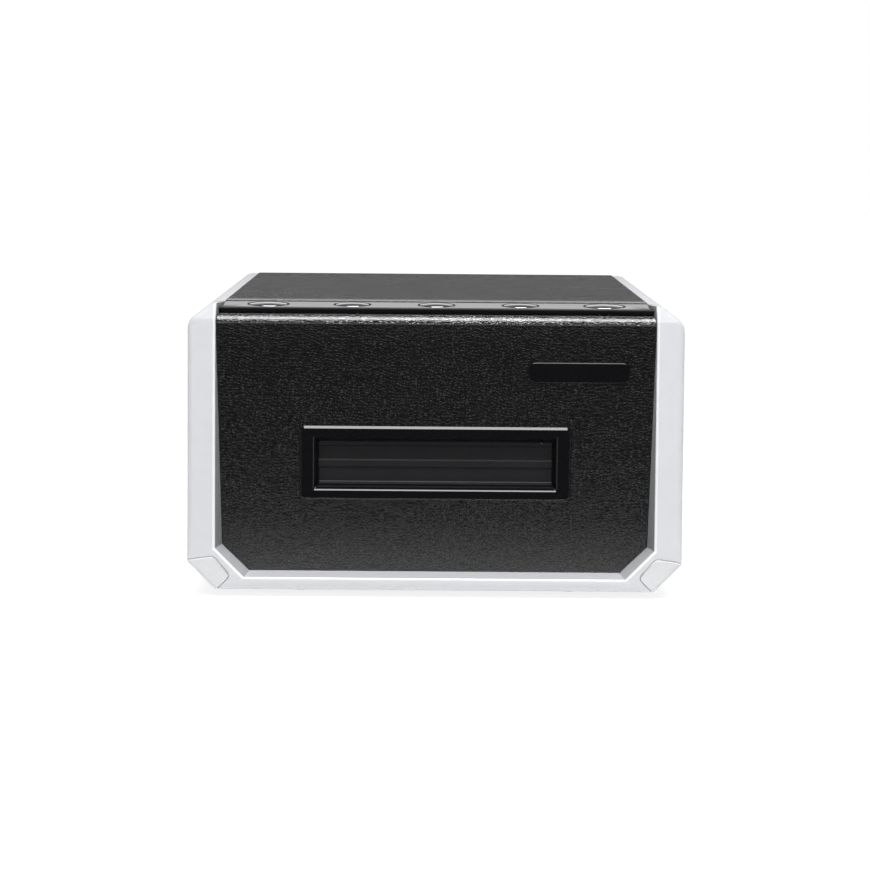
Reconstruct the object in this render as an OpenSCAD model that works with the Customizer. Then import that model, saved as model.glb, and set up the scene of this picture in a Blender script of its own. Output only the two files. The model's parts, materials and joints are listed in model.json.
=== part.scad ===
// Compact scanner for 35 mm negatives and mounted slides, in millimetres.
// Origin: centre of the footprint on the table top.
// +X is the right side seen from the front, +Y is the rear and +Z is up.
// The film holder goes in at the front slot and comes out at the rear slot.

/* [Housing] */
// Width over the side shells
overall_width = 174; // [172:1:178]
// Depth from the front face to the rear edge
overall_depth = 259; // [257:1:262]
// Height of the underside of the housing above the table
ground_gap = 2.5; // [2:0.5:3]
// Height of the flat top edge of the side shells
shell_top = 103.3; // [103:0.1:104]
// Wall thickness of the silver mouldings
shell_wall = 2.4; // [2:0.1:2.8]
// Size of the 45 degree cut at the bottom corners
bottom_cut = 10.2; // [9:0.2:11]
// Sideways run of the sloping cut at the top corners
top_cut_run = 7.8; // [7.4:0.2:8.4]
// Height of the sloping cut at the top corners
top_cut_rise = 6.2; // [6:0.2:7.2]

/* [Front surround] */
// Depth of the front surround
surround_depth = 16; // [15:0.5:17]
// Width of its side bands
side_band = 9.7; // [9:0.1:10.5]
// Width of its bottom band
bottom_band = 4.5; // [4:0.1:5]
// How far the face falls back from its inner to its outer edge
face_fall = 1.8; // [1:0.1:2.2]
// Depth over which the inner walls slope
draft_depth = 8.5; // [8:0.5:9]
// Inward run of the sloping side walls
draft_run = 2.3; // [2:0.1:2.5]

/* [Front panel] */
// Angle the front panel leans back
panel_lean = 5.2; // [4.8:0.1:5.6]
// Height where the panel's rolled top edge starts
panel_top = 96; // [95.5:0.1:96.2]
// Thickness of the leatherette sheets
sheet_thickness = 1; // [0.8:0.1:1.1]
// Thickness of the plain covers
cover_thickness = 2.4; // [2.2:0.1:2.5]

/* [Buttons] */
// Distance between neighbouring buttons
button_pitch = 29.6; // [29:0.1:30]
// Radius of the three middle buttons
small_button_radius = 5.9; // [5.5:0.1:6]
// Radius of the two end buttons
large_button_radius = 6.7; // [6.2:0.1:6.8]
// Travel of a button
button_travel = 1; // [0.8:0.1:1]

/* [Slot and flaps] */
// Width of the slot mouth
slot_width = 86; // [85:0.5:87]
// Height of the slot mouth
slot_height = 19.5; // [19:0.1:20]
// Height of the slot's centre above the table
slot_centre = 47.3; // [47:0.1:47.5]
// Height of the film holder's centre plane
film_plane = 46.7; // [46.5:0.1:46.9]

/* [Drive] */
// Teeth of the motor pinion
pinion_teeth = 12; // [12, 13]
// Teeth of the large wheel of the compound gear
large_wheel_teeth = 32; // [32, 33]
// Teeth of the small wheel of the compound gear
small_wheel_teeth = 18; // [18, 19]
// Teeth of the gears on the feed shafts
feed_gear_teeth = 30; // [29, 30]
// Teeth of the idler between the feed shafts
idler_teeth = 25; // [25, 26]
// Radius of the rubber feed rollers
feed_roller_radius = 7; // [6.8:0.1:7]

/* [Hidden] */
$fn = 64;
eps = 0.01;
half_width = overall_width / 2;
front_y = -overall_depth / 2;
rear_y = overall_depth / 2;
lean_slope = tan(panel_lean);
// The inner edge of the surround's face, at the sides and at the bottom
inner_edge_x = half_width - side_band;
inner_edge_z = ground_gap + bottom_band;
bottom_draft = 1.5;
corner_draft = 2.2;
corner_band = 10;
// The same face lines measured across the 45 degree corners
corner_outer_line = (half_width - ground_gap - bottom_cut) / sqrt(2);
corner_inner_line = corner_outer_line - corner_band;
// Position of the middle of the bottom cut along the cut's own direction
corner_centre = (half_width + ground_gap) / sqrt(2);
// Height where the side wall ends above the bottom cut
corner_top = ground_gap + bottom_cut;
// Height of the sharp corner between the side wall and the sloping top cut
cut_low_z = shell_top - top_cut_rise;
// Narrowest half width of the space between the side shells
mouth_half = inner_edge_x - draft_run;
// Bounds outside the housing in every direction, for cutting shapes
far_x = 120;
far_z = 140;
far_cut = 300;
// Margin between a bumper and the outer faces beside it
bumper_inset = 0.5;
bumper_proud = 0.3;
bumper_seat_depth = 1.2;
// Button strip
strip_front = 3.5;
strip_back = 20.8;
strip_front_z = 102.03;
strip_back_z = 103.2;
strip_tilt = atan((strip_back_z - strip_front_z) / (strip_back - strip_front));
strip_thickness = 1.6;
nose_radius = 0.35;
nose_low_z = 100.1;
strip_end_gap = 0.15;
button_depth = 12.3;
button_z = strip_z(button_depth);
// Front panel: depth of its top edge, radius of the roll and length of the flange behind it
panel_recess = 0.6;
roll_radius = 4;
roll_flange = 4.8;
panel_low_z = 5;
// Gap between the panel sheets and the surround
panel_gap = 0.25;
// Badge plate
badge_x = 50.2;
badge_z = 79.8;
badge_half_width = 17.7;
badge_half_height = 3.6;
badge_radius = 2.4;
badge_proud = 0.7;
// Top cover
top_front = 21.15;
top_skin_z = 103.5;
top_skin = 1.2;
top_low_z = top_skin_z - 3.6;
top_half = mouth_half - 0.2;
// Base pan
pan_half = half_width - bottom_cut - 3.8;
pan_thickness = 2.6;
foot_radius = 6;
foot_seat = 0.8;
// Switches under the buttons, measured down from the strip's top face
switch_top = -4.2;
board_top = -7.4;
board_thickness = 1.6;
// Slot, in the panel's own leaning frame
throat_width = 82;
throat_height = 14.6;
chamber_half_width = 42;
chamber_bottom = -8;
chamber_top = 8.4;
bezel_half_width = 47.8;
bezel_half_height = 13.2;
bezel_proud = 1.2;
bezel_radius = 2.2;
bezel_chamfer = 0.8;
bezel_chamfer_depth = 0.4;
tube_half_width = 44.6;
tube_bottom = -10.2;
tube_top = 10.6;
tube_depth = 12;
hinge_drop = 6.2;
hinge_depth = 4.6;
hinge_radius = 2;
flap_pin_radius = 0.75;
flap_bottom = -7.7;
flap_half_width = 41.5;
rib_low = -2;
rib_high = 0.8;
// Rear
rear_panel_y = rear_y - 3;
rear_panel_thickness = 2.5;
// Film path: rails that hold the edges of the film holder
rail_half = 38.4;
rail_web = 2.6;
rail_lip_x = 34;
rail_end = 103;
// Film path: rollers, two on each shaft
roller_mid = 29.5;
roller_half = 3.5;
gear_module = 0.8;
feed_pitch_radius = gear_module * feed_gear_teeth / 2;
idler_pitch_radius = gear_module * idler_teeth / 2;
roller_y = feed_pitch_radius + idler_pitch_radius;
holder_half = 3;
feed_axis_z = film_plane - holder_half - feed_roller_radius;
feed_shaft_radius = 2.5;
bush_radius = 4.5;
pinch_roller_radius = 5;
pinch_axis_z = film_plane + 2.5 + pinch_roller_radius;
pinch_shaft_radius = 1.5;
pinch_pivot_y = -48;
pinch_pivot_z = 62;
pinch_pin_radius = 1.5;
// Chassis
floor_z = 8;
floor_thickness = 2.5;
wall_in = 50;
wall_out = 53;
wall_mid = (wall_in + wall_out) / 2;
wall_front = -90;
wall_rear = 104;
wall_top = 68;
running_gap = 0.05;
// Gear train, seen from the left side: positions as [y, z]
pressure_angle = 25;
tooth_slack = 0.07;
small_pitch_radius = gear_module * small_wheel_teeth / 2;
large_pitch_radius = gear_module * large_wheel_teeth / 2;
pinion_pitch_radius = gear_module * pinion_teeth / 2;
compound_angle = -25;
pinion_angle = -8.5;
compound_reach = feed_pitch_radius + small_pitch_radius;
compound_y = roller_y + compound_reach * cos(compound_angle);
compound_z = feed_axis_z + compound_reach * sin(compound_angle);
pinion_reach = large_pitch_radius + pinion_pitch_radius;
motor_y = compound_y + pinion_reach * cos(pinion_angle);
motor_z = compound_z + pinion_reach * sin(pinion_angle);
// Tooth phases that put every pair in mesh, starting from the rear feed gear
rear_feed_phase = 0;
idler_phase = 180 + 180 + 180 / idler_teeth
    - (rear_feed_phase - 180) * feed_gear_teeth / idler_teeth;
front_feed_phase = 180 + 180 + 180 / feed_gear_teeth
    - (idler_phase - 180) * idler_teeth / feed_gear_teeth;
small_phase = compound_angle + 180 + 180 / small_wheel_teeth
    - (rear_feed_phase - compound_angle) * feed_gear_teeth / small_wheel_teeth;
large_phase = 0;
pinion_phase = pinion_angle + 180 + 180 / pinion_teeth
    - (large_phase - pinion_angle) * large_wheel_teeth / pinion_teeth;
// Gear planes along X
gear_left = -66;
gear_right = -61;
wheel_left = -59.5;
wheel_right = -56;
post_radius = 2;
// Motor
motor_radius = 14;
motor_left = -49.8;
motor_right = -31;
motor_shaft_radius = 1.5;
// Lamp
lamp_low = 52.5;
lamp_half_x = 25;
lamp_half_y = 10;
bridge_thickness = 2.5;
// Optics
optical_z = 21.5;
lens_radius = 8;
tunnel_half = 20;
tunnel_wall = 2;
tunnel_floor = 12.6;
tunnel_roof = 30.4;
// Main board, on edge beside the right wall
board_x = 60;
board_face_x = board_x + board_thickness;
// Screws
screw_radius = 1.5;
screw_head_radius = 2.8;
screw_head = 1.6;

// ---------- shape helpers ----------

// Row position of a point that lies this far behind the front face
function at_depth(depth) = front_y + depth;

// Front surface of the leaning panel at a given height
function panel_depth(z) = panel_recess + (panel_top - z) * lean_slope;

// Points of an arc round a centre, from angle a0 to a1
function arc_points(centre, radius, a0, a1, steps) =
    [for (i = [0:steps])
        let (a = a0 + (a1 - a0) * i / steps)
        [centre[0] + radius * cos(a), centre[1] + radius * sin(a)]];

// Rectangle with cut corners, centred on the origin
function cut_rectangle(half_x, half_z, cut) = [
    [-half_x + cut, -half_z], [half_x - cut, -half_z], [half_x, -half_z + cut],
    [half_x, half_z - cut], [half_x - cut, half_z], [-half_x + cut, half_z],
    [-half_x, half_z - cut], [-half_x, -half_z + cut]
];

// Rectangle with round corners, centred on the origin
function round_rectangle(half_x, half_z, radius, steps = 5) = concat(
    arc_points([half_x - radius, half_z - radius], radius, 0, 90, steps),
    arc_points([-half_x + radius, half_z - radius], radius, 90, 180, steps),
    arc_points([-half_x + radius, -half_z + radius], radius, 180, 270, steps),
    arc_points([half_x - radius, -half_z + radius], radius, 270, 360, steps)
);

// Extrude a profile of [y, z] points from x0 to x1
module along_x(x0, x1, points) {
    translate([x0, 0, 0])
        rotate([90, 0, 90])
            linear_extrude(height = x1 - x0)
                polygon(points);
}

// Extrude a profile of [x, z] points from y0 to y1
module along_y(y0, y1, points) {
    translate([0, y1, 0])
        rotate([90, 0, 0])
            linear_extrude(height = y1 - y0)
                polygon(points);
}

// Extrude a profile of [x, y] points from z0 to z1
module along_z(z0, z1, points) {
    translate([0, 0, z0])
        linear_extrude(height = z1 - z0)
            polygon(points);
}

// Box between two opposite corners
module block(low, high) {
    translate(low)
        cube(high - low);
}

// Round bar along X
module bar_x(x0, x1, y, z, radius) {
    translate([x0, y, z])
        rotate([0, 90, 0])
            cylinder(h = x1 - x0, r = radius);
}

// Round bar along Y
module bar_y(y0, y1, x, z, radius) {
    translate([x, y0, z])
        rotate([-90, 0, 0])
            cylinder(h = y1 - y0, r = radius);
}

// Round bar along Z
module bar_z(z0, z1, x, y, radius) {
    translate([x, y, z0])
        cylinder(h = z1 - z0, r = radius);
}

// Both sides of a shape that stands on the right
module both_sides() {
    children();
    mirror([1, 0, 0])
        children();
}

// The leaning frame of the front panel, with its origin on the panel face at height z
module on_panel(x, z) {
    translate([x, at_depth(panel_depth(z)), z])
        rotate([panel_lean, 0, 0])
            children();
}

// The tilted frame of the button strip, with its origin on the strip's top face
module on_strip(x) {
    translate([x, at_depth(button_depth), button_z])
        rotate([strip_tilt, 0, 0])
            children();
}

// ---------- housing outline ----------

// Rounding of the corner where the side wall meets the top cut, as [inset, rise]
corner_rounding = [[0, -2.9], [0.3, -1.2], [1, 0.3], [2, 1.4]];
side_corner = [for (p = corner_rounding) [half_width - p[0], cut_low_z + p[1]]];

// Right half of the outer outline as [x, z], from the top edge down to the bottom edge
function outer_half() = concat(
    [[half_width - top_cut_run - 1.6, shell_top], [half_width - top_cut_run + 0.2, shell_top - 0.5]],
    [for (i = [3:-1:0]) side_corner[i]],
    [[half_width, corner_top], [half_width - bottom_cut, ground_gap]]
);

// The same outline moved inward by the wall thickness
function inner_half() = [
    [half_width - top_cut_run - 2.2, shell_top - shell_wall],
    [half_width - 3.6, cut_low_z - 0.5],
    [half_width - shell_wall, cut_low_z - 3.5],
    [half_width - shell_wall, corner_top + shell_wall * 0.41],
    [half_width - bottom_cut - shell_wall * 0.41, ground_gap + shell_wall]
];

// Mirror a list of [x, z] points to the left and reverse it
function mirrored(points) = [for (i = [len(points) - 1:-1:0]) [-points[i][0], points[i][1]]];

// The space inside the surround: sloping side, bottom and corner walls, open at the top.
// A positive grow makes the space larger on every side.
module surround_space(grow) {
    near = -3;
    far = 40;
    wide_near = inner_edge_x - near * draft_run / draft_depth + grow;
    wide_far = mouth_half + grow;
    low_near = inner_edge_z + near * bottom_draft / draft_depth - grow;
    low_far = inner_edge_z + bottom_draft - grow;
    corner_near = corner_inner_line - near * corner_draft / draft_depth + grow;
    corner_far = corner_inner_line - corner_draft + grow;
    intersection() {
        along_z(-10, far_z, [
            [-wide_near, at_depth(near)], [wide_near, at_depth(near)],
            [wide_far, at_depth(draft_depth)], [wide_far, at_depth(far)],
            [-wide_far, at_depth(far)], [-wide_far, at_depth(draft_depth)]
        ]);
        along_x(-far_x, far_x, [
            [at_depth(near), low_near], [at_depth(draft_depth), low_far],
            [at_depth(far), low_far], [at_depth(far), far_z], [at_depth(near), far_z]
        ]);
        corner_half_space(corner_near, corner_far, near, far);
        mirror([1, 0, 0])
            corner_half_space(corner_near, corner_far, near, far);
    }
}

// Long prism along the edge of the right bottom corner. Its profile is [a, y], where a is
// measured outward across the corner at 45 degrees.
module across_corner(points) {
    rotate([0, 45, 0])
        linear_extrude(height = 500, center = true)
            polygon(points);
}

// Everything inside the sloping wall of the right bottom corner
module corner_half_space(corner_near, corner_far, near, far) {
    across_corner([
        [-far_cut, at_depth(near)], [corner_near, at_depth(near)],
        [corner_far, at_depth(draft_depth)], [corner_far, at_depth(far)],
        [-far_cut, at_depth(far)]
    ]);
}

// The block behind the surround's sloping face
module surround_body() {
    back = surround_depth;
    intersection() {
        along_y(at_depth(0), at_depth(back), concat(outer_half(), mirrored(outer_half())));
        along_z(-10, far_z, [
            [-half_width, at_depth(face_fall)], [-inner_edge_x, at_depth(0)],
            [inner_edge_x, at_depth(0)], [half_width, at_depth(face_fall)],
            [half_width, at_depth(back)], [-half_width, at_depth(back)]
        ]);
        along_x(-far_x, far_x, [
            [at_depth(face_fall), ground_gap], [at_depth(0), inner_edge_z],
            [at_depth(0), far_z], [at_depth(back), far_z], [at_depth(back), ground_gap]
        ]);
        face_corner_slope(back);
        mirror([1, 0, 0])
            face_corner_slope(back);
        face_top_slope(back);
        mirror([1, 0, 0])
            face_top_slope(back);
    }
}

// The face falls away toward the bottom corner
module face_corner_slope(back) {
    across_corner([
        [-far_cut, at_depth(0)], [corner_inner_line, at_depth(0)],
        [corner_outer_line, at_depth(face_fall)], [corner_outer_line, at_depth(back)],
        [-far_cut, at_depth(back)]
    ]);
}

// The face also falls away toward the sloping cut at the top
module face_top_slope(back) {
    slope_angle = atan(top_cut_rise / top_cut_run);
    cut_start = side_corner[3];
    top_outer = cut_start[0] * sin(slope_angle) + cut_start[1] * cos(slope_angle) + 0.6;
    top_inner = top_outer - 6;
    rotate([0, slope_angle - 90, 0])
        linear_extrude(height = 500, center = true)
            polygon([
                [-far_cut, at_depth(0)], [top_inner, at_depth(0)],
                [top_outer, at_depth(face_fall)], [top_outer, at_depth(back)],
                [-far_cut, at_depth(back)]
            ]);
}

// Outline of a bumper on the right bottom corner of the surround, seen from the front
function bumper_outline(grow) = [
    [half_width - bumper_inset + grow, corner_top + 0.2 + grow],
    [half_width - 8.4, corner_top + 1.5 + grow],
    [half_width - 9.6 - grow * 0.4, corner_top + 1.1 + grow * 0.8],
    [half_width - 14.2 - grow * 0.8, corner_top - 4.1 + grow * 0.4],
    [half_width - 14.6 - grow, corner_top - 5.3],
    [half_width - 14.2 - grow, corner_top - 6.1 - grow * 0.4],
    [half_width - bottom_cut - 0.4 - grow, ground_gap + bumper_inset - grow],
    [half_width - bumper_inset + grow, ground_gap + bumper_inset - grow]
];

// ---------- housing parts ----------

// Right half of the hollow behind the surround's face, from the top down
function surround_hollow_half() = [
    [half_width - top_cut_run - 4, cut_low_z - 4.5],
    [half_width - shell_wall, cut_low_z - 4.5],
    [half_width - shell_wall, corner_top + 1],
    [half_width - bottom_cut - 1, ground_gap + shell_wall]
];

module front_surround() {
    color([0.78, 0.79, 0.81]) {
        difference() {
            surround_body();
            surround_space(0);
            // Hollow behind the face
            difference() {
                along_y(at_depth(5), at_depth(surround_depth + 1),
                    concat(surround_hollow_half(), mirrored(surround_hollow_half())));
                surround_space(2.2);
            }
            // Seats of the corner bumpers
            both_sides()
                bumper_seat();
        }
    }
}

// Pocket for one front bumper: a little wider than the bumper, which leaves a fine groove
module bumper_seat() {
    difference() {
        along_y(at_depth(-1), at_depth(12.3), bumper_outline(0.2));
        across_corner(bumper_floor(0));
    }
}

// Space behind the floor of the bumper seat, or behind a surface lifted off that floor
function bumper_floor(lift) = [
    [-far_cut, at_depth(bumper_seat_depth - lift)],
    [corner_inner_line, at_depth(bumper_seat_depth - lift)],
    [corner_outer_line - bumper_seat_depth + lift,
     at_depth(bumper_seat_depth + face_fall - lift)],
    [corner_outer_line - bumper_seat_depth + lift, at_depth(30)], [-far_cut, at_depth(30)]
];

// Bumper on the right bottom corner, standing a little proud of the face
module front_bumper() {
    intersection() {
        difference() {
            along_y(at_depth(-1), at_depth(12), bumper_outline(-0.1));
            across_corner(bumper_floor(0));
        }
        across_corner(bumper_floor(bumper_seat_depth + bumper_proud));
    }
}

// Plate on the outer corner at the rear
module rear_bumper() {
    rotate([0, 45, 0])
        translate([corner_outer_line - bumper_seat_depth, rear_y - 14, corner_centre - 5])
            cube([bumper_seat_depth + bumper_proud, 12, 10]);
}

module corner_bumpers() {
    color([0.86, 0.86, 0.87]) {
        both_sides()
            front_bumper();
        both_sides()
            rear_bumper();
    }
}

// Silver side shell on the right; ribs stiffen it inside
module side_shell() {
    start = at_depth(surround_depth + 0.2);
    difference() {
        intersection() {
            along_y(start, rear_y, concat(
                [[mouth_half, shell_top]],
                outer_half(),
                [[half_width - bottom_cut - 3.6, ground_gap]],
                [[half_width - bottom_cut - 3.6, ground_gap + shell_wall]],
                [for (i = [4:-1:0]) inner_half()[i]],
                [[mouth_half, shell_top - shell_wall]]
            ));
            along_z(0, far_z, [
                [0, start], [half_width, start], [half_width, rear_y - 1.6],
                [half_width - 1.6, rear_y], [0, rear_y]
            ]);
        }
        rotate([0, 45, 0])
            translate([corner_outer_line - bumper_seat_depth, rear_y - 14.4, corner_centre - 5.4])
                cube([10, 12.8, 10.8]);
    }
    for (y = [-70, 0, 70])
        block([half_width - 5, y, corner_top + 3],
              [half_width - shell_wall + eps, y + 2, cut_low_z - 5.5]);
}

module left_side_shell() {
    color([0.78, 0.79, 0.81])
        mirror([1, 0, 0])
            side_shell();
}

module right_side_shell() {
    color([0.78, 0.79, 0.81])
        side_shell();
}

// Places shared by the base pan, the chassis and their screws
base_screw_places = [[-60, -98], [60, -98], [-60, 0], [60, 0], [-60, 98], [60, 98]];
foot_places = [[-48, -103], [48, -103], [-48, 110], [48, 110]];

module base_pan() {
    color([0.16, 0.16, 0.17]) {
        difference() {
            union() {
                block([-pan_half, at_depth(surround_depth + 0.4), ground_gap],
                      [pan_half, rear_y - 0.2, ground_gap + pan_thickness]);
                // Bosses that carry the chassis
                for (p = base_screw_places)
                    bar_z(ground_gap + pan_thickness - eps, floor_z, p[0], p[1], 4);
                // Tabs over the bottom lips of the side shells
                for (side = [-1, 1])
                    for (y = [-90, -30, 30, 90])
                        block([side * pan_half - 2.4, y, ground_gap + pan_thickness - eps],
                              [side * pan_half + 2.4, y + 16, ground_gap + pan_thickness + 1.6]);
            }
            for (p = base_screw_places) {
                bar_z(0, 20, p[0], p[1], screw_radius + running_gap);
                bar_z(0, ground_gap + screw_head + 0.4, p[0], p[1], screw_head_radius + 0.3);
            }
            for (p = foot_places)
                bar_z(0, ground_gap + foot_seat, p[0], p[1], foot_radius + 0.2);
            // Vent slots
            for (x = [-36:6:36])
                for (y = [-60, 20])
                    block([x - 1.2, y, 0], [x + 1.2, y + 40, 12]);
        }
    }
}

module rubber_feet() {
    color([0.07, 0.07, 0.07])
        for (p = foot_places)
            bar_z(0, ground_gap + foot_seat, p[0], p[1], foot_radius);
}

// Plate under the leatherette, with skirts at the sides and ribs below
module top_cover() {
    color([0.1, 0.1, 0.11]) {
        block([-top_half, at_depth(top_front), top_low_z],
              [top_half, rear_y - 1.4, top_skin_z - top_skin]);
        // Skirts inside the side shells
        for (side = [-1, 1])
            block([side * (top_half - 2) - 1, at_depth(top_front + 2), 92],
                  [side * (top_half - 2) + 1, rear_y - 8, top_low_z + eps]);
        // Stiffening ribs
        for (y = [-80, -40, 0, 40, 80])
            block([-top_half + 4, y, top_low_z - 2.5], [top_half - 4, y + 1.6, top_low_z + eps]);
    }
}

// Leatherette on the top, turned down over the rear edge
module top_leatherette() {
    color([0.13, 0.13, 0.15])
        intersection() {
            along_x(-top_half, top_half, [
                [at_depth(top_front), top_skin_z - top_skin],
                [at_depth(top_front), top_skin_z - 0.2],
                [at_depth(top_front + 0.2), top_skin_z],
                [rear_y - 1.2, top_skin_z],
                [rear_y - 0.4, top_skin_z - 0.4],
                [rear_y, top_skin_z - top_skin],
                [rear_y, top_low_z],
                [rear_y - 1.3, top_low_z],
                [rear_y - 1.3, top_skin_z - top_skin]
            ]);
            along_y(front_y, rear_y + 1, [
                [-top_half, 90], [top_half, 90], [top_half, top_skin_z - 0.5],
                [top_half - 0.5, top_skin_z], [-top_half + 0.5, top_skin_z],
                [-top_half, top_skin_z - 0.5]
            ]);
        }
}

// Side view of the front panel between two depths behind its face, with the rolled top edge
function panel_profile(skin_in, skin_out) =
    let (centre = [at_depth(panel_recess) + roll_radius, panel_top])
    concat(
        [[at_depth(panel_depth(panel_low_z) + skin_in), panel_low_z]],
        arc_points(centre, roll_radius - skin_in, 180, 90, 8),
        [[at_depth(roll_flange), panel_top + roll_radius - skin_in],
         [at_depth(roll_flange), panel_top + roll_radius - skin_out]],
        arc_points(centre, roll_radius - skin_out, 90, 180, 8),
        [[at_depth(panel_depth(panel_low_z) + skin_out), panel_low_z]]
    );

module front_leatherette() {
    color([0.09, 0.09, 0.1])
        difference() {
            intersection() {
                along_x(-100, 100, panel_profile(0, sheet_thickness));
                surround_space(-panel_gap);
            }
            on_panel(0, slot_centre)
                along_y(-8, 12, tube_hole());
            on_panel(badge_x, badge_z)
                along_y(-2, 3, badge_outline(0.1));
        }
}

module front_cover() {
    color([0.12, 0.12, 0.13])
        difference() {
            intersection() {
                along_x(-100, 100, panel_profile(sheet_thickness, sheet_thickness + cover_thickness));
                surround_space(-panel_gap);
            }
            on_panel(0, slot_centre)
                along_y(-8, 12, tube_hole());
        }
}

// Hole in the panel that takes the tube of a slot frame
function tube_hole() = cut_rectangle(tube_half_width + 0.2, tube_top + 0.3, 0.1);

// Badge plate outline with round corners, seen from the front
function badge_outline(grow) =
    round_rectangle(badge_half_width + grow, badge_half_height + grow, badge_radius + grow);

module badge_plate() {
    color([0.04, 0.04, 0.05])
        on_panel(badge_x, badge_z)
            along_y(-badge_proud, sheet_thickness - eps, badge_outline(0));
}

// Height of the strip's top face at a depth behind the front
function strip_z(depth) = strip_front_z + (depth - strip_front) * tan(strip_tilt);

// Side view of the strip, which is turned down in front
function strip_profile() =
    let (centre = [at_depth(strip_front + nose_radius), strip_front_z - nose_radius])
    concat(
        [[at_depth(strip_back), strip_back_z]],
        arc_points(centre, nose_radius, 90, 180, 4),
        [[at_depth(strip_front), nose_low_z], [at_depth(strip_front + 0.9), nose_low_z],
         [at_depth(strip_front + 2), 100.75], [at_depth(strip_back), strip_back_z - strip_thickness]]
    );

// Narrow strip between the front panel and the top cover
module button_strip() {
    color([0.2, 0.2, 0.21])
        difference() {
            intersection() {
                along_x(-100, 100, strip_profile());
                surround_space(-strip_end_gap);
            }
            for (i = [-2:2])
                on_strip(i * button_pitch) {
                    bar_z(-10, 5, 0, 0, button_radius(i) + 0.15);
                    bar_z(-0.5, 5, 0, 0, button_radius(i) + 0.75);
                }
        }
}

function button_radius(i) = abs(i) == 2 ? large_button_radius : small_button_radius;

// One button: domed cap with two retaining lugs, and a stem with a thinner tip
module button(i) {
    r = button_radius(i);
    cap_bottom = -2.2;
    cap_rise = 0.5;
    color([0.8, 0.8, 0.82])
        on_strip(i * button_pitch) {
            rotate_extrude()
                polygon(concat(
                    [[0, -5], [1.1, -5], [1.1, -3.1], [2, -3.1], [2, cap_bottom], [r, cap_bottom],
                     [r, -0.1]],
                    [for (k = [6:-1:0]) [(r - 0.15) * k / 6, cap_rise * (1 - pow(k / 6, 2)) + 0.1]]
                ));
            for (side = [-1, 1])
                block([side * r - 0.7, -1.5, cap_bottom], [side * r + 0.7, 1.5, cap_bottom + 0.5]);
        }
}

module power_button() { button(-2); }
module load_button() { button(-1); }
module eject_button() { button(0); }
module quick_scan_button() { button(1); }
module custom_scan_button() { button(2); }

// ---------- slot, flaps and rear ----------

// Section of the bezel plate across one direction, as [across, y], with chamfered front edges
function bezel_section(half) = [
    [-half, 1], [-half, bezel_chamfer_depth - bezel_proud],
    [bezel_chamfer - half, -bezel_proud], [half - bezel_chamfer, -bezel_proud],
    [half, bezel_chamfer_depth - bezel_proud], [half, 1]
];

// Frame with a funnel mouth, a throat that stops the flap and a chamber behind it.
// It is drawn facing -Y with its face on the plane y = 0.
module slot_frame() {
    face = -bezel_proud;
    throat = 2.4;
    difference() {
        union() {
            intersection() {
                along_y(face, 0, round_rectangle(bezel_half_width, bezel_half_height, bezel_radius));
                along_z(-30, 30, bezel_section(bezel_half_width));
                rotate([0, 90, 0])
                    along_z(-60, 60, bezel_section(bezel_half_height));
            }
            along_y(-eps, tube_depth, [
                [-tube_half_width, tube_bottom], [tube_half_width, tube_bottom],
                [tube_half_width, tube_top], [-tube_half_width, tube_top]
            ]);
        }
        // Funnel: a frustum made of two crossing wedges
        intersection() {
            along_z(-30, 30, [
                [-slot_width / 2, face - eps], [slot_width / 2, face - eps],
                [throat_width / 2, throat + eps], [-throat_width / 2, throat + eps]
            ]);
            along_x(-60, 60, [
                [face - eps, -slot_height / 2], [face - eps, slot_height / 2],
                [throat + eps, throat_height / 2], [throat + eps, -throat_height / 2]
            ]);
        }
        block([-chamber_half_width, throat, chamber_bottom],
              [chamber_half_width, tube_depth + 1, chamber_top]);
        // Grooves in the cheeks that lead the holder's edges
        block([-slot_width / 2 + 0.6, face - 1, rib_low], [slot_width / 2 - 0.6, throat + 1, rib_high]);
        bar_x(-tube_half_width - 1, tube_half_width + 1, hinge_depth, hinge_drop,
            flap_pin_radius + 0.02);
    }
}

module slot_bezel() {
    color([0.05, 0.05, 0.06])
        on_panel(0, slot_centre)
            slot_frame();
}

// Hanging flap with a hinge barrel on top and a rib across its face
module flap() {
    difference() {
        union() {
            block([-flap_half_width, 2.7, flap_bottom], [flap_half_width, 4.5, hinge_drop]);
            block([30, 2.7, flap_bottom], [flap_half_width, 3.3, hinge_drop + 1]);
            bar_x(-flap_half_width, 31, hinge_depth, hinge_drop, hinge_radius);
            block([-throat_width / 2 + 0.6, 2.2, rib_low], [throat_width / 2 - 0.6, 2.8, rib_high]);
        }
        bar_x(-50, 50, hinge_depth, hinge_drop, flap_pin_radius + running_gap);
        // Room for the spring behind a thin front wall
        block([31, 3.2, hinge_drop - 2.2], [flap_half_width + 1, 8, 12]);
    }
}

// Torsion spring round the pin: touching coils and two legs
module flap_spring(leg_side) {
    wire = 0.25;
    coil = 1.08;
    for (k = [0:11])
        translate([32.2 + k * 0.46, hinge_depth, hinge_drop])
            rotate([0, 90, 0])
                rotate_extrude()
                    translate([coil, 0])
                        circle(r = wire, $fn = 16);
    block([31.95, leg_side, hinge_drop - 6], [32.45, leg_side + 0.5, hinge_drop - 0.9]);
}

module front_flap() {
    color([0.1, 0.1, 0.11])
        on_panel(0, slot_centre)
            flap();
}

module front_flap_spring() {
    color([0.6, 0.6, 0.62])
        on_panel(0, slot_centre)
            flap_spring(hinge_depth + 0.1);
}

// The frame of the rear panel, with its origin on the panel face at the slot's height
module rear_frame() {
    translate([0, rear_panel_y, slot_centre])
        children();
}

rear_flap_y = -2.4;

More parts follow.
